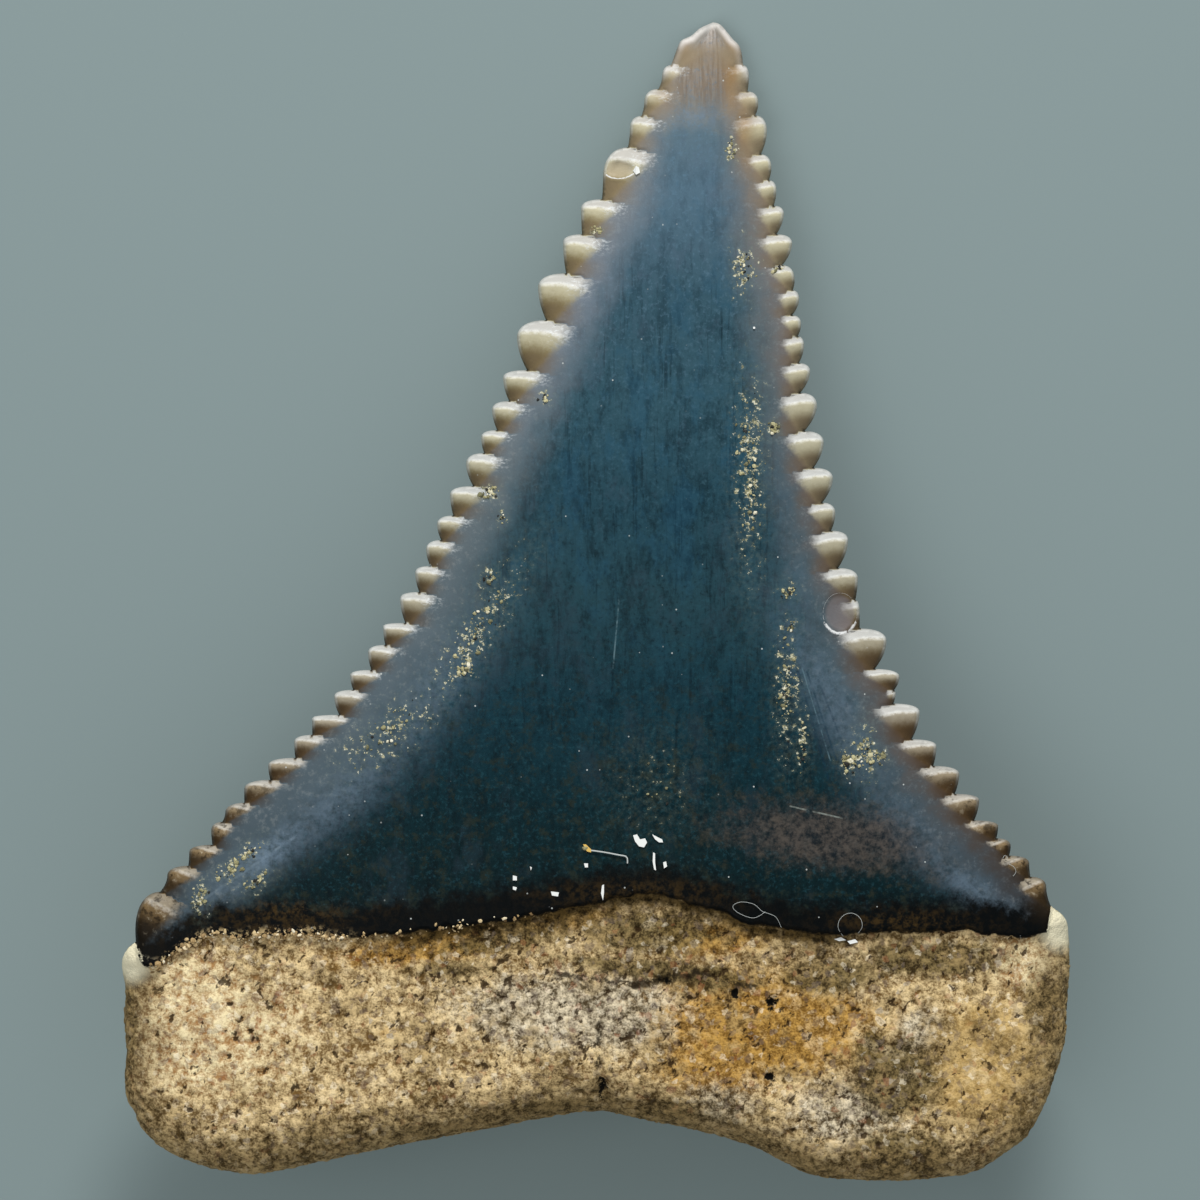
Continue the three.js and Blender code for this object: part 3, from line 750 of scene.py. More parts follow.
class Nodes:
    """Adds nodes to a tree, each call returning its output socket."""

    def __init__(self, tree):
        self.tree = tree

    def add(self, kind, inputs=(), output=0, **settings):
        node = self.tree.nodes.new(kind)
        for key, value in settings.items():
            setattr(node, key, value)
        for key, value in dict(inputs).items():
            if isinstance(value, bpy.types.NodeSocket):
                self.tree.links.new(value, node.inputs[key])
            else:
                node.inputs[key].default_value = value
        return node.outputs[output]

    def math(self, operation, a, b=0.0, clamp=False):
        return self.add("ShaderNodeMath", {0: a, 1: b}, operation=operation, use_clamp=clamp)

    def vector_math(self, operation, inputs, output=0):
        return self.add("ShaderNodeVectorMath", inputs, output, operation=operation)

    def times(self, *factors):
        result = factors[0]
        for factor in factors[1:]:
            result = self.math("MULTIPLY", result, factor)
        return result

    def inverse(self, value):
        return self.math("SUBTRACT", 1.0, value)

    def shaken(self, value, texture, amount):
        """The value made irregular by a texture that averages a half."""
        return self.math("ADD", value, self.times(self.math("SUBTRACT", texture, 0.5), amount))

    def scaled(self, vector, factors):
        return self.vector_math("MULTIPLY", {0: vector, 1: factors})

    def noise(self, vector, scale, detail=2.0, roughness=0.5, output=0):
        """A cloudy texture; a scale of three numbers stretches it."""
        if isinstance(scale, tuple):
            vector, scale = self.scaled(vector, scale), 1.0
        inputs = {"Vector": vector, "Scale": scale, "Detail": detail, "Roughness": roughness}
        return self.add("ShaderNodeTexNoise", inputs, output)

    def cells(self, vector, scale, output="Distance"):
        return self.add("ShaderNodeTexVoronoi", {"Vector": vector, "Scale": scale}, output)

    def ramp(self, value, low, high):
        """Rises smoothly from 0 at low to 1 at high, or falls where low is the larger."""
        inputs = {"Value": value, "From Min": low, "From Max": high}
        return self.add("ShaderNodeMapRange", inputs, interpolation_type="SMOOTHSTEP")

    def mix(self, share, a, b):
        """From colour a to colour b, each of them a socket or written as on a screen."""
        a, b = (srgb(*c) if isinstance(c, tuple) else c for c in (a, b))
        return self.add("ShaderNodeMix", {0: share, 6: a, 7: b}, 2, data_type="RGBA")

    def over(self, base, tint, *factors):
        """The base colour under a tint that is as strong as the product of the factors."""
        return self.mix(self.times(*factors), base, tint)

    def gradient(self, value, stops):
        """Colours by value: a list of positions from 0 to 1 with their colours."""
        result = self.add("ShaderNodeValToRGB", {"Fac": value})
        ramp = result.node.color_ramp
        while len(ramp.elements) < len(stops):
            ramp.elements.new(0.5)
        for element, (position, colour) in zip(ramp.elements, stops):
            element.position = position
            element.color = srgb(*colour)
        return result

    def attribute(self, name, output="Fac"):
        return self.add("ShaderNodeAttribute", output=output, attribute_name=name)

    def bump(self, height, distance, normal=None):
        inputs = {"Height": height, "Distance": distance}
        if normal is not None:
            inputs["Normal"] = normal
        return self.add("ShaderNodeBump", inputs)

    def stroke(self, flat, start, end, width):
        """1 along a straight line between two pixels of the photo, 0 away from it."""
        a, b = place(start), place(end)
        length = float(np.linalg.norm(b - a))
        along = (*((b - a) / length), 0.0)
        offset = self.vector_math("SUBTRACT", {0: flat, 1: (*a, 0.0)})
        reached = self.vector_math("DOT_PRODUCT", {0: offset, 1: along}, "Value")
        reached = self.math("MINIMUM", self.math("MAXIMUM", reached, 0.0), length)
        step = self.vector_math("SCALE", {0: along, "Scale": reached})
        gap = self.vector_math("DISTANCE", {0: offset, 1: step}, "Value")
        return self.ramp(gap, width, 0.3 * width)


class Surface(Nodes):
    """The tooth's material while it is being painted, with what most of its colours depend on."""

    def __init__(self, tree):
        super().__init__(tree)
        self.colour = None
        self.mm = self.attribute("tooth_mm", "Vector")
        self.flat = self.scaled(self.mm, (1, 1, 0))
        self.x = self.add("ShaderNodeSeparateXYZ", {"Vector": self.mm})
        self.level = self.math("DIVIDE", self.x.node.outputs["Y"], TOOTH_HEIGHT)
        self.left = self.ramp(self.attribute("side"), 0.25, -0.25)
        self.line = self.attribute("line_mm")
        self.broad = self.noise(self.mm, 0.8, 5.0, 0.65)
        self.clumps = self.noise(self.mm, 1.3, 5.0, 0.7)
        self.medium = self.noise(self.mm, 2.2, 5.0, 0.75)
        self.mottle = self.noise(self.mm, 3.4, 5.0, 0.72)
        self.clots = self.noise(self.mm, 5.2, 4.0, 0.7)
        self.fine = self.noise(self.mm, 7.0, 3.0, 0.72)

    def cover(self, tint, *factors):
        """Lays a tint over the surface's colour so far."""
        self.colour = self.over(self.colour, tint, *factors)


def srgb(red, green, blue):
    """A colour written as on a screen, 0 to 255, in the linear values that nodes take."""
    parts = [c / 255 for c in (red, green, blue)]
    linear = [c / 12.92 if c <= 0.04045 else ((c + 0.055) / 1.055) ** 2.4 for c in parts]
    return (*linear, 1.0)


def grain_fields(n, mm):
    """Relief of the root's sand grains, and its pores; the same nodes shape and colour the root."""
    uneven = n.noise(mm, 2.4, 2.0, output="Color")
    warp = n.vector_math("MULTIPLY_ADD", {0: uneven, 1: (0.3, 0.3, 0.3), 2: mm})
    cells = n.math("SUBTRACT", 1.0, n.times(n.cells(warp, 1 / GRAIN_SIZE), 1.2), clamp=True)
    fine = n.noise(mm, 4.2, 3.0, 0.6)
    coarse = n.noise(mm, 1.5, 3.0, 0.6)
    grain = n.math("ADD", n.times(cells, 0.35), n.math("ADD", n.times(fine, 0.6), n.times(coarse, 0.5)))
    slanted = n.add("ShaderNodeVectorRotate", {"Vector": warp, "Angle": -0.9}, rotation_type="Z_AXIS")
    pores = n.ramp(n.noise(n.scaled(slanted, (1.3, 1.8, 1.5)), 2.0, 3.0, 0.6), 0.59, 0.66)
    return grain, pores, warp


def shape_grains(piece):
    """Raises the grains and sinks the pores of the root along its surface."""
    tree = bpy.data.node_groups.new("grains", "GeometryNodeTree")
    tree.interface.new_socket("Geometry", in_out="INPUT", socket_type="NodeSocketGeometry")
    tree.interface.new_socket("Geometry", in_out="OUTPUT", socket_type="NodeSocketGeometry")
    n = Nodes(tree)
    source = n.add("NodeGroupInput")

    def named(name, kind):
        node = tree.nodes.new("GeometryNodeInputNamedAttribute")
        node.data_type = kind
        node.inputs["Name"].default_value = name
        return node.outputs["Attribute"]

    grain, pores, _ = grain_fields(n, named("tooth_mm", "FLOAT_VECTOR"))
    raised = n.times(n.math("SUBTRACT", grain, 0.7), GRAIN_HEIGHT)
    height = n.math("SUBTRACT", raised, n.times(pores, PORE_DEPTH))
    height = n.math("SUBTRACT", height, n.times(named("pit", "FLOAT"), PIT_DEPTH))
    height = n.times(height, MM, named("grainy", "FLOAT"))
    normal = n.add("GeometryNodeInputNormal")
    offset = n.vector_math("SCALE", {0: normal, "Scale": height})
    moved = n.add("GeometryNodeSetPosition", {"Geometry": source, "Offset": offset})
    sink = tree.nodes.new("NodeGroupOutput")
    tree.links.new(moved, sink.inputs[0])
    modifier = piece.modifiers.new("grains", "NODES")
    modifier.node_group = tree
    shaped = bpy.data.meshes.new_from_object(piece.evaluated_get(bpy.context.evaluated_depsgraph_get()))
    piece.modifiers.clear()
    piece.data = shaped
    co = np.empty(len(shaped.vertices) * 3, np.float32)
    shaped.vertices.foreach_get("co", co)
    co = co.reshape(-1, 3)
    co[:, 2] = np.maximum(co[:, 2], 0.0)
    shaped.vertices.foreach_set("co", co.ravel())
    shaped.update()


def make_tooth():
    """The tooth's surface, with what its material needs to know at each point."""
    points, faces, frontness, on_rim = tooth_surface()
    world = to_world(points)
    middle = (world.min(0) + world.max(0)) / 2
    cad_middle = (np.array(cad_box[0]) + np.array(cad_box[1])) / 2
    shift = np.array([*(cad_middle - middle)[:2], 0])
    tooth = new_object("shark_tooth", world + shift, faces)
    flat = points[:, :2]
    share, pitch, depth = along_serration(flat, inward(flat))
    cross = cross_position(flat)
    on_front = frontness > 0.5
    back_line = above_enamel_line(flat, enamel_back, 1.6, 0.16)
    line = np.where(on_front, above_enamel_line(flat, enamel_front), back_line)
    line[frontness == 0.5] = 0.5
    line[on_rim] = -0.5
    root = 1 - smoothstep((line + 0.09) / 0.1)
    worn = world[:, 2] < 0.02 * MM
    shoulders = shoulder_strength(points)
    side_width = np.where(cross < 0, *MARGIN_WIDTHS) + 0.5 * smoothstep((24 - flat[:, 1]) / 12)
    margin = depth / (side_width * smoothstep((TOOTH_HEIGHT + 1 - flat[:, 1]) / 8))
    _, chip, chip_highlight_rim = chips(flat)
    patches = {
        kind: patch_strength(flat, spots) * (frontness >= 0.5)
        for kind, spots in {**PATCHES, "film": film_patches()}.items()}
    grainy = root * (1 - 0.85 * shoulders) * (1 - 0.45 * patches["smooth"]) * np.where(worn, 0.15, 1.0)
    values = {
        "tooth_mm": points, "line_mm": line, "margin": margin, "serration": share,
        "wedge": np.clip(wedge_share(share, pitch, depth), -2, 3), "side": cross,
        "front": frontness,
        "rim_mm": root_line.nearest(flat)[0],
        "edge_mm": crown_line.nearest(flat)[0],
        "depth_share": np.clip(depth / np.minimum(pitch, 1.2), -2, 3),
        "chip": np.where(on_front, chip, FAR),
        "chip_highlight_rim": np.where(on_front, chip_highlight_rim, FAR),
        "shoulder": shoulders, "grainy": grainy, **patches,
    }
    for name, value in values.items():
        set_attribute(tooth.data, name, value)
    shape_grains(tooth)
    return tooth, shift


# Colours by height, as a share of the tooth's, from the root up
BODY_COLOURS = [
    (0.21, (3, 20, 22)), (0.28, (5, 32, 36)), (0.33, (6, 37, 44)), (0.416, (16, 50, 61)),
    (0.502, (34, 64, 73)), (0.588, (34, 66, 78)), (0.674, (48, 80, 92)), (0.76, (54, 84, 97)),
    (0.855, (82, 108, 124)), (0.9, (90, 112, 124)), (0.918, (120, 124, 120)), (0.945, (140, 132, 122)),
    (0.97, (150, 138, 124)), (1.0, (196, 188, 180)),
]
LEFT_MARGIN_COLOURS = [
    (0.24, (70, 84, 92)), (0.42, (88, 102, 110)), (0.6, (104, 114, 118)), (0.76, (124, 132, 142)),
    (0.9, (130, 130, 128)), (1.0, (156, 148, 138)),
]
RIGHT_MARGIN_COLOURS = [
    (0.24, (66, 78, 86)), (0.42, (76, 92, 100)), (0.58, (82, 92, 96)), (0.76, (110, 112, 112)),
    (0.9, (122, 114, 104)), (1.0, (156, 146, 134)),
]
# Painted light: paler colours for the shelves, which face the tip and the light
LIT_SHELF_COLOURS = [
    (0.205, (84, 72, 54)), (0.24, (144, 132, 112)), (0.3, (176, 167, 152)), (0.4, (190, 188, 182)),
    (0.6, (190, 190, 186)), (1.0, (192, 186, 176)),
]
BEAD_COLOURS = [
    (0.205, (58, 46, 28)), (0.24, (120, 98, 66)), (0.3, (136, 116, 86)), (0.4, (160, 150, 130)),
    (0.6, (184, 178, 152)), (0.9, (200, 192, 160)), (1.0, (186, 174, 156)),
]
# Brown hollow colours: the serrations' own translucent tan, darkened as painted shade for their undersides
HOLLOW_AND_SHADE_COLOURS = [
    (0.205, (24, 18, 10)), (0.24, (66, 50, 28)), (0.3, (84, 66, 40)), (0.4, (100, 82, 54)),
    (0.6, (130, 118, 80)), (0.8, (144, 130, 84)), (1.0, (158, 144, 110)),
]
# Painted shade on the serrations' lower ends, beside the notches
NOTCH_SHADE_COLOURS = [
    (0.205, (14, 12, 8)), (0.26, (52, 40, 24)), (0.34, (70, 52, 32)), (0.5, (88, 72, 54)),
    (0.75, (112, 96, 74)), (1.0, (146, 130, 106)),
]
# Painted shade along the inner side of the serrations
MARGIN_SHADE_COLOURS = [
    (0.24, (50, 44, 40)), (0.34, (88, 78, 70)), (0.6, (98, 92, 90)), (0.8, (118, 110, 104)),
    (0.9, (144, 130, 110)), (1.0, (148, 134, 116)),
]

# The root's stains: each one's colour in the hollows and on the tops of the grains
STAIN_COLOURS = {
    "cream": ((176, 132, 82), (255, 238, 190)),
    "grey": ((76, 64, 44), (236, 220, 188)),
    "smooth": ((168, 136, 80), (214, 180, 116)),
    "ochre": ((112, 76, 22), (206, 158, 76)),
    "olive": ((34, 28, 12), (130, 110, 66)),
}

# Sediment seen as specks in the film
SPECK_COLOURS = [(0.35, (112, 110, 82)), (0.5, (186, 180, 144)), (0.65, (236, 232, 208))]

# Scratches in the enamel: start, end, half width in mm, colour
SCRATCHES = [
    ((619, 600), (613, 668), 0.035, (104, 132, 140)), ((613, 668), (609, 735), 0.04, (6, 24, 34)),
    ((797, 668), (828, 778), 0.06, (8, 38, 58)), ((807, 672), (836, 760), 0.045, (14, 46, 64)),
    ((818, 680), (842, 742), 0.05, (10, 40, 60)), ((802, 668), (830, 760), 0.03, (96, 124, 134)),
    ((148, 955), (172, 922), 0.05, (110, 120, 128)), ((548, 440), (512, 560), 0.04, (30, 56, 66)),
    ((560, 452), (528, 566), 0.03, (34, 62, 72)), ((296, 836), (206, 898), 0.06, (132, 150, 164)),
    ((790, 806), (842, 818), 0.035, (150, 158, 150)),
]
# Cracks in the root: start, end, half width in mm
CRACKS = [
    ((605, 1018), (602, 1060), 0.11), ((602, 1060), (600, 1112), 0.22),
    ((560, 968), (640, 980), 0.11), ((640, 980), (700, 968), 0.198), ((700, 968), (760, 984), 0.11),
]


def enamel_body(n):
    """Blue-grey above and near black towards the root, with upright streaks and mottling."""
    level = n.shaken(n.level, n.broad, 0.045)
    lower = n.ramp(level, 0.9, 0.45)
    n.colour = n.gradient(level, BODY_COLOURS)
    blotches = n.noise(n.mm, (2.6, 1.0, 2.6), 5.0, 0.75)
    dark = n.mix(lower, (3, 30, 42), (1, 11, 14))
    n.cover(dark, n.ramp(blotches, 0.44, 0.66), n.ramp(level, 1.1, 0.6), 0.5)
    streaks = n.noise(n.mm, (6.5, 0.35, 6.5), 4.0, 0.65)
    n.cover((5, 24, 32), n.ramp(streaks, 0.55, 0.7), n.ramp(level, 0.9, 0.72), 0.55)
    n.cover(n.mix(lower, (96, 126, 146), (34, 74, 84)), n.ramp(n.fine, 0.5, 0.74), 0.5)
    n.cover((2, 16, 22), n.ramp(n.fine, 0.46, 0.3), lower, 0.5)
    n.cover((40, 44, 32), n.ramp(n.medium, 0.5, 0.64), n.ramp(level, 0.55, 0.3), 0.55)
    hues = n.noise(n.scaled(n.mm, (1.0, 0.55, 1.0)), 0.7, 5.0, 0.72)
    n.cover(n.mix(lower, (84, 100, 118), (44, 58, 68)), n.ramp(hues, 0.52, 0.66), 0.26)
    n.cover((34, 84, 112), n.ramp(hues, 0.5, 0.37), n.ramp(level, 0.38, 0.58), 0.2)
    fibres = n.noise(n.mm, (11.0, 0.9, 11.0), 3.0, 0.6)
    n.cover((116, 98, 78), n.ramp(fibres, 0.42, 0.6), n.ramp(level, 0.915, 0.95), 0.5)


def enamel_patches(n):
    """Pale flanks, partly a painted sheen, and a purple-brown zone."""
    # Pale flanks: partly a painted sheen of reflected light on the enamel
    n.cover((112, 132, 150), n.attribute("pale_and_sheen"), n.ramp(n.mottle, 0.2, 0.7), 0.95)
    brown = n.mix(n.ramp(n.shaken(n.mottle, n.fine, 0.5), 0.3, 0.68), (26, 30, 34), (86, 78, 71))
    n.cover(brown, n.ramp(n.shaken(n.attribute("purple"), n.medium, 1.2), 0.25, 0.95), 0.8)


def enamel_scratches(n):
    """Worn scratches on the front."""
    worn = n.ramp(n.medium, 0.36, 0.6)
    front = n.ramp(n.attribute("front"), 0.4, 0.6)
    for start, end, width, tint in SCRATCHES:
        n.cover(tint, n.stroke(n.flat, start, end, width), front, worn, 0.6)


def enamel_margin(n):
    """The greyish strip between the body and the serrations, with a brown painted shade right beside them.
    """
    margin = n.shaken(n.attribute("margin"), n.clumps, 0.65)
    right = n.gradient(n.level, RIGHT_MARGIN_COLOURS)
    strip = n.mix(n.left, right, n.gradient(n.level, LEFT_MARGIN_COLOURS))
    strip = n.over(strip, (206, 208, 204), n.ramp(n.clots, 0.5, 0.7), 0.15)
    n.cover(strip, n.ramp(margin, 1.15, 0.15), 0.9)
    # Painted shade, brownish, right beside the serrations, strongest on the right
    inner = n.gradient(n.level, MARGIN_SHADE_COLOURS)
    n.cover(inner, n.ramp(margin, 0.58, 0.08), n.ramp(n.left, 1.2, 0.0), 0.9)


def enamel_band(n):
    """The near-black band along the root, mottled with rust."""
    rusty = n.math("ADD", n.times(n.attribute("rust"), 0.8), 0.03)
    rust = n.times(n.ramp(n.shaken(n.mottle, n.fine, 0.5), 0.4, 0.68), rusty)
    n.cover(n.mix(rust, (1, 4, 5), (74, 56, 26)), n.ramp(n.shaken(n.line, n.medium, 1.8), 1.35, 0.6))


def serration_colour(n):
    """Cream beads, with painted light and shade: paler lit shelves, brown shaded hollows and notches,
    highlights and glints.
    """
    share = n.attribute("serration")
    depth = n.attribute("depth_share")
    edge = n.attribute("edge_mm")
    low = n.ramp(n.level, 0.42, 0.28)
    cream = n.gradient(n.level, BEAD_COLOURS)
    # Painted shade over the serrations' own tan: their lower parts, which face away from the light, take
    # the hollow colour
    hollow = n.over(n.gradient(n.level, HOLLOW_AND_SHADE_COLOURS), cream,
                    n.ramp(n.left, 0.6, 0.3), n.ramp(n.level, 0.45, 0.65), 0.55)
    under = n.ramp(n.shaken(share, n.fine, 0.25), 0.3, 0.72)
    tone = n.over(cream, hollow, under, n.ramp(n.level, 0.97, 0.955))
    # Painted light: the shelves, which face the tip and the light, take a paler colour
    shelf = n.ramp(share, SHELF_RISE + 0.03, SHELF_RISE - 0.04)
    tone = n.over(tone, n.gradient(n.level, LIT_SHELF_COLOURS), shelf)
    tone = n.over(tone, (30, 22, 10), n.ramp(n.mottle, 0.5, 0.62), low, 0.8)
    tone = n.over(tone, (184, 170, 144), n.ramp(n.mottle, 0.45, 0.32), low, 0.7)
    # A painted highlight along the crest of each shelf
    crest = n.times(n.ramp(share, 0.16, 0.22), n.ramp(share, 0.32, 0.25), n.ramp(n.fine, 0.3, 0.6))
    tone = n.over(tone, n.mix(low, (238, 237, 230), (212, 204, 190)), crest, 0.5)
    # A painted highlight along the cutting edge, lightening its shaded outline; brownish on the lowest
    # serrations
    rim = n.mix(n.ramp(n.level, 0.26, 0.42), (110, 98, 84), (236, 234, 228))
    tone = n.over(tone, rim, n.ramp(edge, 0.12, 0.04), n.ramp(share, 0.9, 0.5), 0.45)
    wedge = n.shaken(n.attribute("wedge"), n.fine, 0.5)
    n.cover(tone, n.ramp(wedge, -0.35, 0.4), n.ramp(n.level, 0.985, 0.955))
    n.cover((156, 126, 86), n.attribute("tan"), 0.8)
    n.cover((228, 222, 216), n.ramp(edge, 0.28, 0.08), n.ramp(n.level, 0.945, 0.965), 0.8)
    # Painted shade on the lower part of each serration, close to its notch
    reach = n.ramp(n.shaken(depth, n.medium, 0.5), 1.0, 0.1)
    notch = n.gradient(n.level, NOTCH_SHADE_COLOURS)
    n.cover(notch, n.ramp(share, 0.4, 0.75), reach, n.ramp(depth, -0.6, -0.1), 0.8)
    # Painted glints of light just inside the line of notches, on the upper part of each serration,
    # stronger on the left
    glints = n.ramp(n.noise(n.mm, (7.0, 14.0, 7.0), 3.0, 0.7), 0.5, 0.62)
    inside = n.times(n.ramp(share, 0.5, 0.2), n.ramp(depth, 1.0, 0.4), n.ramp(depth, 0.05, 0.3))
    stronger_left = n.math("ADD", n.times(n.left, 0.45), 0.12)
    n.cover((226, 230, 230), glints, inside, n.ramp(n.level, 0.3, 0.5), stronger_left)


def chip_colour(n):
    """Dull hollows where the enamel is chipped, with thin white rims, broadened below by a painted
    highlight.
    """
    facet = n.mix(n.ramp(n.level, 0.6, 0.7), (122, 116, 116), (176, 162, 138))
    n.cover(facet, n.ramp(n.attribute("chip"), 0.98, 0.7), 0.6)
    # A painted highlight on the lower rim of each chip, which faces the light
    rim = n.shaken(n.attribute("chip_highlight_rim"), n.fine, 0.22)
    rim = n.times(n.ramp(rim, 0.93, 1.0), n.ramp(rim, 1.12, 1.04))
    n.cover((236, 236, 234), rim, n.ramp(n.fine, 0.35, 0.5), 0.85)


def sediment_colour(n):
    """Gold-grey films of sediment, and white dots of dust."""
    film = n.attribute("film")
    n.cover((112, 124, 110), n.ramp(n.clots, 0.4, 0.65), film, 0.5)
    speckled = n.math("GREATER_THAN", n.clots, n.math("SUBTRACT", 0.69, n.times(film, 0.17)))
    tone = n.gradient(n.noise(n.mm, 12.0), SPECK_COLOURS)
    n.cover(tone, speckled, n.ramp(film, 0.1, 0.35), 0.85)
    dots = n.ramp(n.cells(n.mm, 2.2), 0.07, 0.045)
    n.cover((214, 218, 214), dots, n.ramp(n.broad, 0.45, 0.6), 0.7)


def root_colour(n):
    """Sand grains of many tints, stained in patches, with brown pores and cracks between them."""
    grain, pores, warp = grain_fields(n, n.mm)
    tone = n.shaken(n.shaken(grain, n.fine, 0.75), n.noise(n.mm, 14.0, 2.0, 0.7), 0.55)
    tone = n.ramp(n.shaken(tone, n.clumps, 0.9), 0.34, 1.02)
    n.colour = n.mix(tone, (112, 84, 44), (242, 214, 160))
    for name, (hollow, top) in STAIN_COLOURS.items():
        here = n.ramp(n.shaken(n.attribute(name), n.medium, 1.3), 0.2, 0.7)
        n.cover(n.mix(tone, hollow, top), here, 0.9)
    uncreamed = n.inverse(n.times(n.attribute("cream"), 0.8))
    n.cover(n.mix(tone, (62, 50, 28), (182, 154, 104)), n.ramp(n.broad, 0.48, 0.6), uncreamed, 0.6)
    n.cover((252, 232, 192), n.ramp(n.broad, 0.44, 0.32), tone, 0.35)
    some = n.add("ShaderNodeSeparateColor", {"Color": n.cells(warp, 6.0, "Color")}).node.outputs
    n.cover((250, 238, 212), n.ramp(some["Red"], 0.86, 0.98), tone, 0.5)
    n.cover((112, 98, 90), n.ramp(some["Green"], 0.84, 0.95), 0.4)
    n.cover((160, 92, 60), n.ramp(some["Blue"], 0.95, 0.99), 0.3)
    n.cover((52, 36, 18), pores, 0.9)
    wavy = n.scaled(warp, (1, 1, 0))
    broken = n.ramp(n.medium, 0.42, 0.54)
    for start, end, width in CRACKS:
        n.cover((40, 32, 20), n.stroke(wavy, start, end, width), broken, 0.85)
    border = n.times(n.ramp(n.shaken(n.line, n.medium, 1.6), -0.9, -0.1), n.ramp(n.clumps, 0.27, 0.44))
    middle = n.times(n.ramp(n.x, -8.0, -5.0), n.ramp(n.x, 10.0, 7.0))
    n.cover(n.mix(tone, (16, 14, 6), (92, 72, 36)), border, middle, 0.95)
    rim = n.ramp(n.shaken(n.attribute("rim_mm"), n.clumps, 1.6), 1.7, 0.2)
    n.cover(n.mix(tone, (62, 50, 28), (164, 138, 92)), rim, 0.75)
    n.cover((255, 246, 212), n.attribute("shoulder"), 0.9)


def tooth_material():
    """Sand-coloured root and dark enamel, which meet along the enamel's border."""
    material = bpy.data.materials.new("tooth_surface")
    material.use_nodes = True
    tree = material.node_tree
    shader = tree.nodes["Principled BSDF"]
    n = Surface(tree)
    root_colour(n)
    root = n.colour
    for paint in (enamel_body, enamel_patches, enamel_scratches, enamel_margin, enamel_band,
                  serration_colour, chip_colour, sediment_colour):
        paint(n)
    sandy_left = n.times(n.ramp(n.line, 0.4, 0.0), n.ramp(n.x, -7.0, -9.0))
    n.cover(root, sandy_left, n.ramp(n.clots, 0.5, 0.56))
    enamel = n.ramp(n.shaken(n.line, n.clots, 0.2), -0.05, 0.03)
    n.colour = n.mix(enamel, root, n.colour)
    n.cover((14, 12, 8), n.ramp(n.shaken(n.attribute("pit"), n.clots, 2.2), 0.45, 0.7))
    tree.links.new(n.colour, shader.inputs["Base Color"])

    rough = n.add("ShaderNodeMix", {0: enamel, 2: ROOT_ROUGHNESS, 3: ENAMEL_ROUGHNESS}, data_type="FLOAT")
    tree.links.new(rough, shader.inputs["Roughness"])
    shader.inputs["Specular IOR Level"].default_value = 0.08
    bump = n.bump(n.times(n.fine, n.inverse(enamel)), ROOT_BUMP * MM)
    bump = n.bump(n.times(n.fine, enamel), ENAMEL_BUMP * MM, bump)
    tree.links.new(bump, shader.inputs["Normal"])
    return material


# Clusters of sediment crumbs: column, row, half width, half height, turn in degrees, number
CRUMBS = [
    (731, 150, 5, 9, 0, 12), (744, 270, 9, 18, 0, 18), (750, 470, 10, 58, 0, 40), (746, 438, 7, 18, 0, 12),
    (773, 428, 6, 5, 0, 16), (788, 592, 7, 6, 0, 18), (790, 626, 5, 5, 0, 8), (787, 690, 8, 38, 0, 32),
    (802, 742, 5, 18, 0, 10), (848, 762, 8, 9, 0, 24), (866, 752, 8, 18, 0, 22), (881, 757, 5, 5, 0, 12),
    (490, 492, 7, 5, 0, 16), (545, 397, 5, 5, 0, 6), (502, 517, 4, 6, 0, 6), (490, 577, 7, 7, 0, 8),
    (478, 630, 12, 50, -32, 34), (464, 669, 9, 6, 25, 20), (385, 735, 34, 14, 38, 26),
    (248, 853, 14, 6, 40, 16), (229, 871, 12, 6, 30, 14), (201, 896, 7, 12, 0, 16),
    (257, 882, 12, 6, 30, 10), (597, 230, 5, 3, 0, 12), (778, 268, 4, 3, 0, 9),
    (655, 785, 30, 30, 0, 5), (587, 848, 2.5, 1.5, -30, 12),
]
CRUMB_SIZES = (0.02, 0.075)  # radius of the smallest and largest crumb, mm

# Loose grains along the enamel's lower border: first and last column, number
FRINGE = [(150, 350, 330), (350, 540, 60)]
FRINGE_SIZES = (0.03, 0.085)

# White flakes, corner by corner; the first is yellow
FLAKES = [
    [(583, 844), (586, 844), (592, 850), (591, 852), (587, 851)],
    [(633, 835), (637, 834), (640, 839), (645, 838), (647, 842), (644, 847), (639, 846), (635, 841)],
    [(652, 834), (656, 836), (662, 839), (663, 842), (659, 842), (655, 839)],
    [(653, 852), (655, 853), (655, 862), (656, 870), (654, 869), (652.6, 861)],
    [(663, 862), (666, 861), (667, 866), (664, 868)], [(584, 863), (588, 863), (588, 867), (585, 867)],
    [(513, 875), (517, 876), (517, 880), (513, 880)], [(513, 886), (517, 887), (516, 890), (513, 889)],
    [(551, 891), (559, 892), (558, 896), (552, 895)], [(530, 866), (532, 867), (531, 870)],
    [(602, 885), (604, 884), (604, 892), (603, 900), (601, 893)],
    [(834, 939), (841, 937), (846, 940), (839, 941)], [(847, 941), (855, 939), (858, 942), (850, 944)],
    [(636, 166), (639, 168), (640, 173), (636, 175), (633, 171)],
    [(753, 327), (755, 327), (755, 329), (753, 329)],
]

# Fibres and hairs, point by point, with their radius in mm
FIBRES = [
    ([(591, 850), (605, 852), (618, 854.5), (626.5, 856.5), (627.4, 863)], 0.023),
    ([(781, 927), (776, 917), (768, 913), (762, 911), (754, 904), (742, 901.5), (734, 904),
      (733, 908), (740, 913.5), (752, 917.5), (760, 915), (765, 911)], 0.0065),
    ([(843, 936), (838, 928), (839, 920), (845, 914), (853, 913), (860, 918), (862, 926),
      (858, 933)], 0.0065),
    ([(1003, 858), (1005, 855), (1008, 858)], 0.006),
    ([(1009, 864), (1014, 867), (1016, 872), (1013, 876)], 0.0065),
]


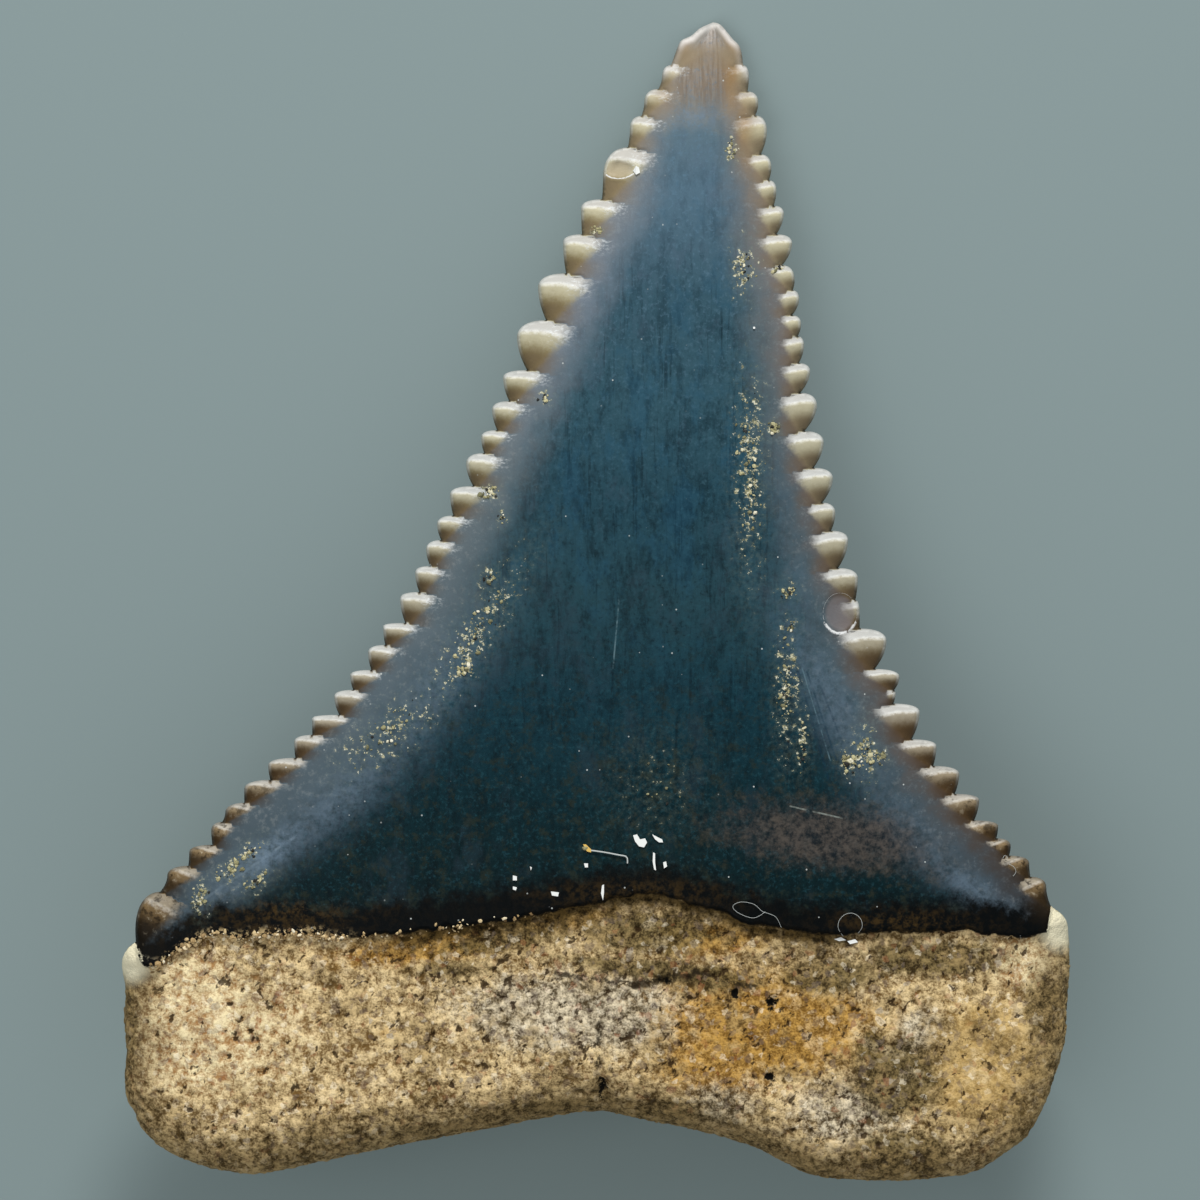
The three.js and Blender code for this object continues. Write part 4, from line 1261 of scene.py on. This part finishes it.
def over_front(flat, lift):
    """Points the given height above the front of the tooth."""
    return np.column_stack([flat, front_depth(flat) + lift])


def add_piece(name, vertices, faces, tones, stops, shift):
    """A piece of dirt on the tooth, matt, each part of it with its own tone."""
    piece = new_object(name, to_world(np.asarray(vertices)) + shift, faces)
    piece.data.shade_flat()
    set_attribute(piece.data, "tone", tones)
    material = bpy.data.materials.new(name)
    material.use_nodes = True
    n = Nodes(material.node_tree)
    shader = n.tree.nodes["Principled BSDF"]
    if len(stops) > 1:
        n.tree.links.new(n.gradient(n.attribute("tone"), stops), shader.inputs["Base Color"])
    else:
        shader.inputs["Base Color"].default_value = srgb(*stops[0][1])
    shader.inputs["Roughness"].default_value = 0.7
    piece.data.materials.append(material)
    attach(piece, "root")


def add_grains(name, flat, sizes, stops, shift):
    """Angular grains of many sizes at the given points of the front."""
    shake = np.random.default_rng(len(flat))
    made = bmesh.new()
    bmesh.ops.create_icosphere(made, subdivisions=2, radius=1.0)
    ball = np.array([v.co for v in made.verts])
    sides = np.array([[v.index for v in f.verts] for f in made.faces])
    made.free()
    smallest, largest = sizes
    radii = smallest + (largest - smallest) * shake.uniform(0, 1, len(flat)) ** 3
    turns, _ = np.linalg.qr(shake.normal(size=(len(flat), 3, 3)))
    shapes = ball * (1 + shake.normal(0, 0.16, (len(flat), len(ball), 1)))
    shapes = (shapes * shake.uniform(0.45, 1.3, (len(flat), 1, 3))) @ turns
    shapes = shapes * radii[:, None, None] * (1, 1, 0.75)
    vertices = (shapes + over_front(flat, 0.2 * radii)[:, None]).reshape(-1, 3)
    faces = (sides + len(ball) * np.arange(len(flat))[:, None, None]).reshape(-1, 3)
    tones = np.repeat(shake.uniform(0, 1, len(flat)), len(ball))
    add_piece(name, vertices, faces.tolist(), tones, stops, shift)


def add_sediment(shift):
    """Crumbs of sediment in loose clusters on the enamel."""
    shake = np.random.default_rng(5)
    spots = []
    for column, row, half_width, half_height, turn, count in CRUMBS:
        angle = math.radians(turn)
        turned = np.array([[math.cos(angle), -math.sin(angle)], [math.sin(angle), math.cos(angle)]])
        scatter = shake.normal(0, 0.55, (2 * count, 2)) * (half_width, half_height)
        spots.append(scatter @ turned + (column, row))
    colours = [
        (0, (22, 22, 18)), (0.16, (26, 26, 20)), (0.2, (104, 102, 72)), (0.55, (156, 150, 108)),
        (0.85, (196, 188, 144)), (1, (236, 230, 206))]
    add_grains("sediment", place(np.vstack(spots)), CRUMB_SIZES, colours, shift)


def add_fringe(shift):
    """Sand grains stuck along the enamel's lower border."""
    shake = np.random.default_rng(7)
    spots = []
    for first, last, count in FRINGE:
        column = shake.uniform(first, last, count)
        row = np.interp(column, *np.transpose(ENAMEL_FRONT)) + shake.normal(0.5, 2.6, count)
        spots.append(np.column_stack([column, row]))
    colours = [(0, (110, 84, 48)), (0.3, (178, 148, 100)), (0.7, (222, 196, 146)), (1, (246, 234, 204))]
    add_grains("border_grains", place(np.vstack(spots)), FRINGE_SIZES, colours, shift)


def add_flakes(shift):
    """White flakes lying on the tooth."""
    vertices, faces, tones = [], [], []
    for pixels in FLAKES:
        top = list(range(len(vertices), len(vertices) + len(pixels)))
        bottom = [i + len(pixels) for i in top]
        for lift in (0.06, -0.02):
            vertices.extend(over_front(place(pixels), lift).tolist())
        faces += [top[::-1], bottom]
        faces += zip(top, top[1:] + top[:1], bottom[1:] + bottom[:1], bottom)
        tones += [float(pixels is not FLAKES[0])] * (2 * len(pixels))
    add_piece("white_flakes", vertices, faces, tones, [(0, (226, 186, 92)), (1, (240, 241, 236))], shift)


def add_fibres(shift):
    """Dust fibres and hairs lying over the tooth."""
    sides = 6
    vertices, faces = [], []
    for pixels, radius in FIBRES:
        path = evenly(spline(over_front(place(pixels), 0.05 + radius)), 0.08)
        along = np.gradient(path, axis=0)
        across = np.cross(along, (0, 0, 1.0))
        across /= np.linalg.norm(across, axis=1)[:, None]
        for k, (point, side) in enumerate(zip(path, across)):
            first = len(vertices)
            for angle in 2 * np.pi * np.arange(sides) / sides:
                outward = math.cos(angle) * side + math.sin(angle) * np.array((0, 0, 1))
                vertices.append(point + radius * outward)
            ring = list(range(first, first + sides))
            if 0 < k:
                before = [i - sides for i in ring]
                faces += zip(ring, ring[1:] + ring[:1], before[1:] + before[:1], before)
            if k in (0, len(path) - 1):
                faces.append(ring)
    add_piece("dust_fibres", vertices, faces, np.zeros(len(vertices)), [(0, (190, 194, 190))], shift)


def make_floor():
    size = 2.0
    corners = np.array([(-size, -size, 0), (size, -size, 0), (size, size, 0), (-size, size, 0)])
    floor = new_object("floor", corners, [(0, 1, 2, 3)])
    material = bpy.data.materials.new("floor")
    material.use_nodes = True
    shader = material.node_tree.nodes["Principled BSDF"]
    shader.inputs["Base Color"].default_value = srgb(142, 158, 158)
    shader.inputs["Roughness"].default_value = 1.0
    shader.inputs["Specular IOR Level"].default_value = 0.05
    floor.data.materials.append(material)


def make_light(name, where, target, size, power):
    light = bpy.data.lights.new(name, "AREA")
    light.shape = "DISK"
    light.size = size
    light.energy = power
    lamp = bpy.data.objects.new(name, light)
    lamp.location = where
    lamp.rotation_euler = (Vector(target) - Vector(where)).to_track_quat("-Z", "Y").to_euler()
    bpy.context.scene.collection.objects.link(lamp)


def make_camera(shift):
    """Looks square on at the flat face, framed as in the photo."""
    distance = 0.4
    tilt = math.atan(rest["slope"])
    centre_mm = place((IMAGE_SIZE / 2, IMAGE_SIZE / 2))
    target = to_world(np.array([[*centre_mm, 0.0]]))[0] + shift
    data = bpy.data.cameras.new("camera")
    camera = bpy.data.objects.new("camera", data)
    bpy.context.scene.collection.objects.link(camera)
    camera.location = Vector(target) + distance * Vector((0, math.sin(tilt), math.cos(tilt)))
    camera.rotation_euler = (-tilt, 0, 0)
    frame_width = IMAGE_SIZE * MM_PER_PIXEL * MM
    data.sensor_width = 36
    data.lens = data.sensor_width * distance / frame_width
    bpy.context.scene.camera = camera


def make_studio():
    world = bpy.data.worlds.new("studio")
    bpy.context.scene.world = world
    world.use_nodes = True
    background = world.node_tree.nodes["Background"]
    background.inputs["Color"].default_value = (0.93, 0.97, 1.0, 1)
    background.inputs["Strength"].default_value = 0.4
    make_light("key", (0.02, 0.25, 0.13), (0, 0, 0.004), 0.1, 0.68)
    make_light("fill", (-0.1, -0.02, 0.25), (0, 0, 0.004), 0.2, 0.12)


tooth, shift = make_tooth()
tooth.data.materials.clear()
tooth.data.materials.append(tooth_material())
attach(tooth, "root")
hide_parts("tooth")
add_sediment(shift)
add_fringe(shift)
add_flakes(shift)
add_fibres(shift)

make_floor()
make_studio()
make_camera(shift)
bpy.context.scene.view_settings.view_transform = "Standard"
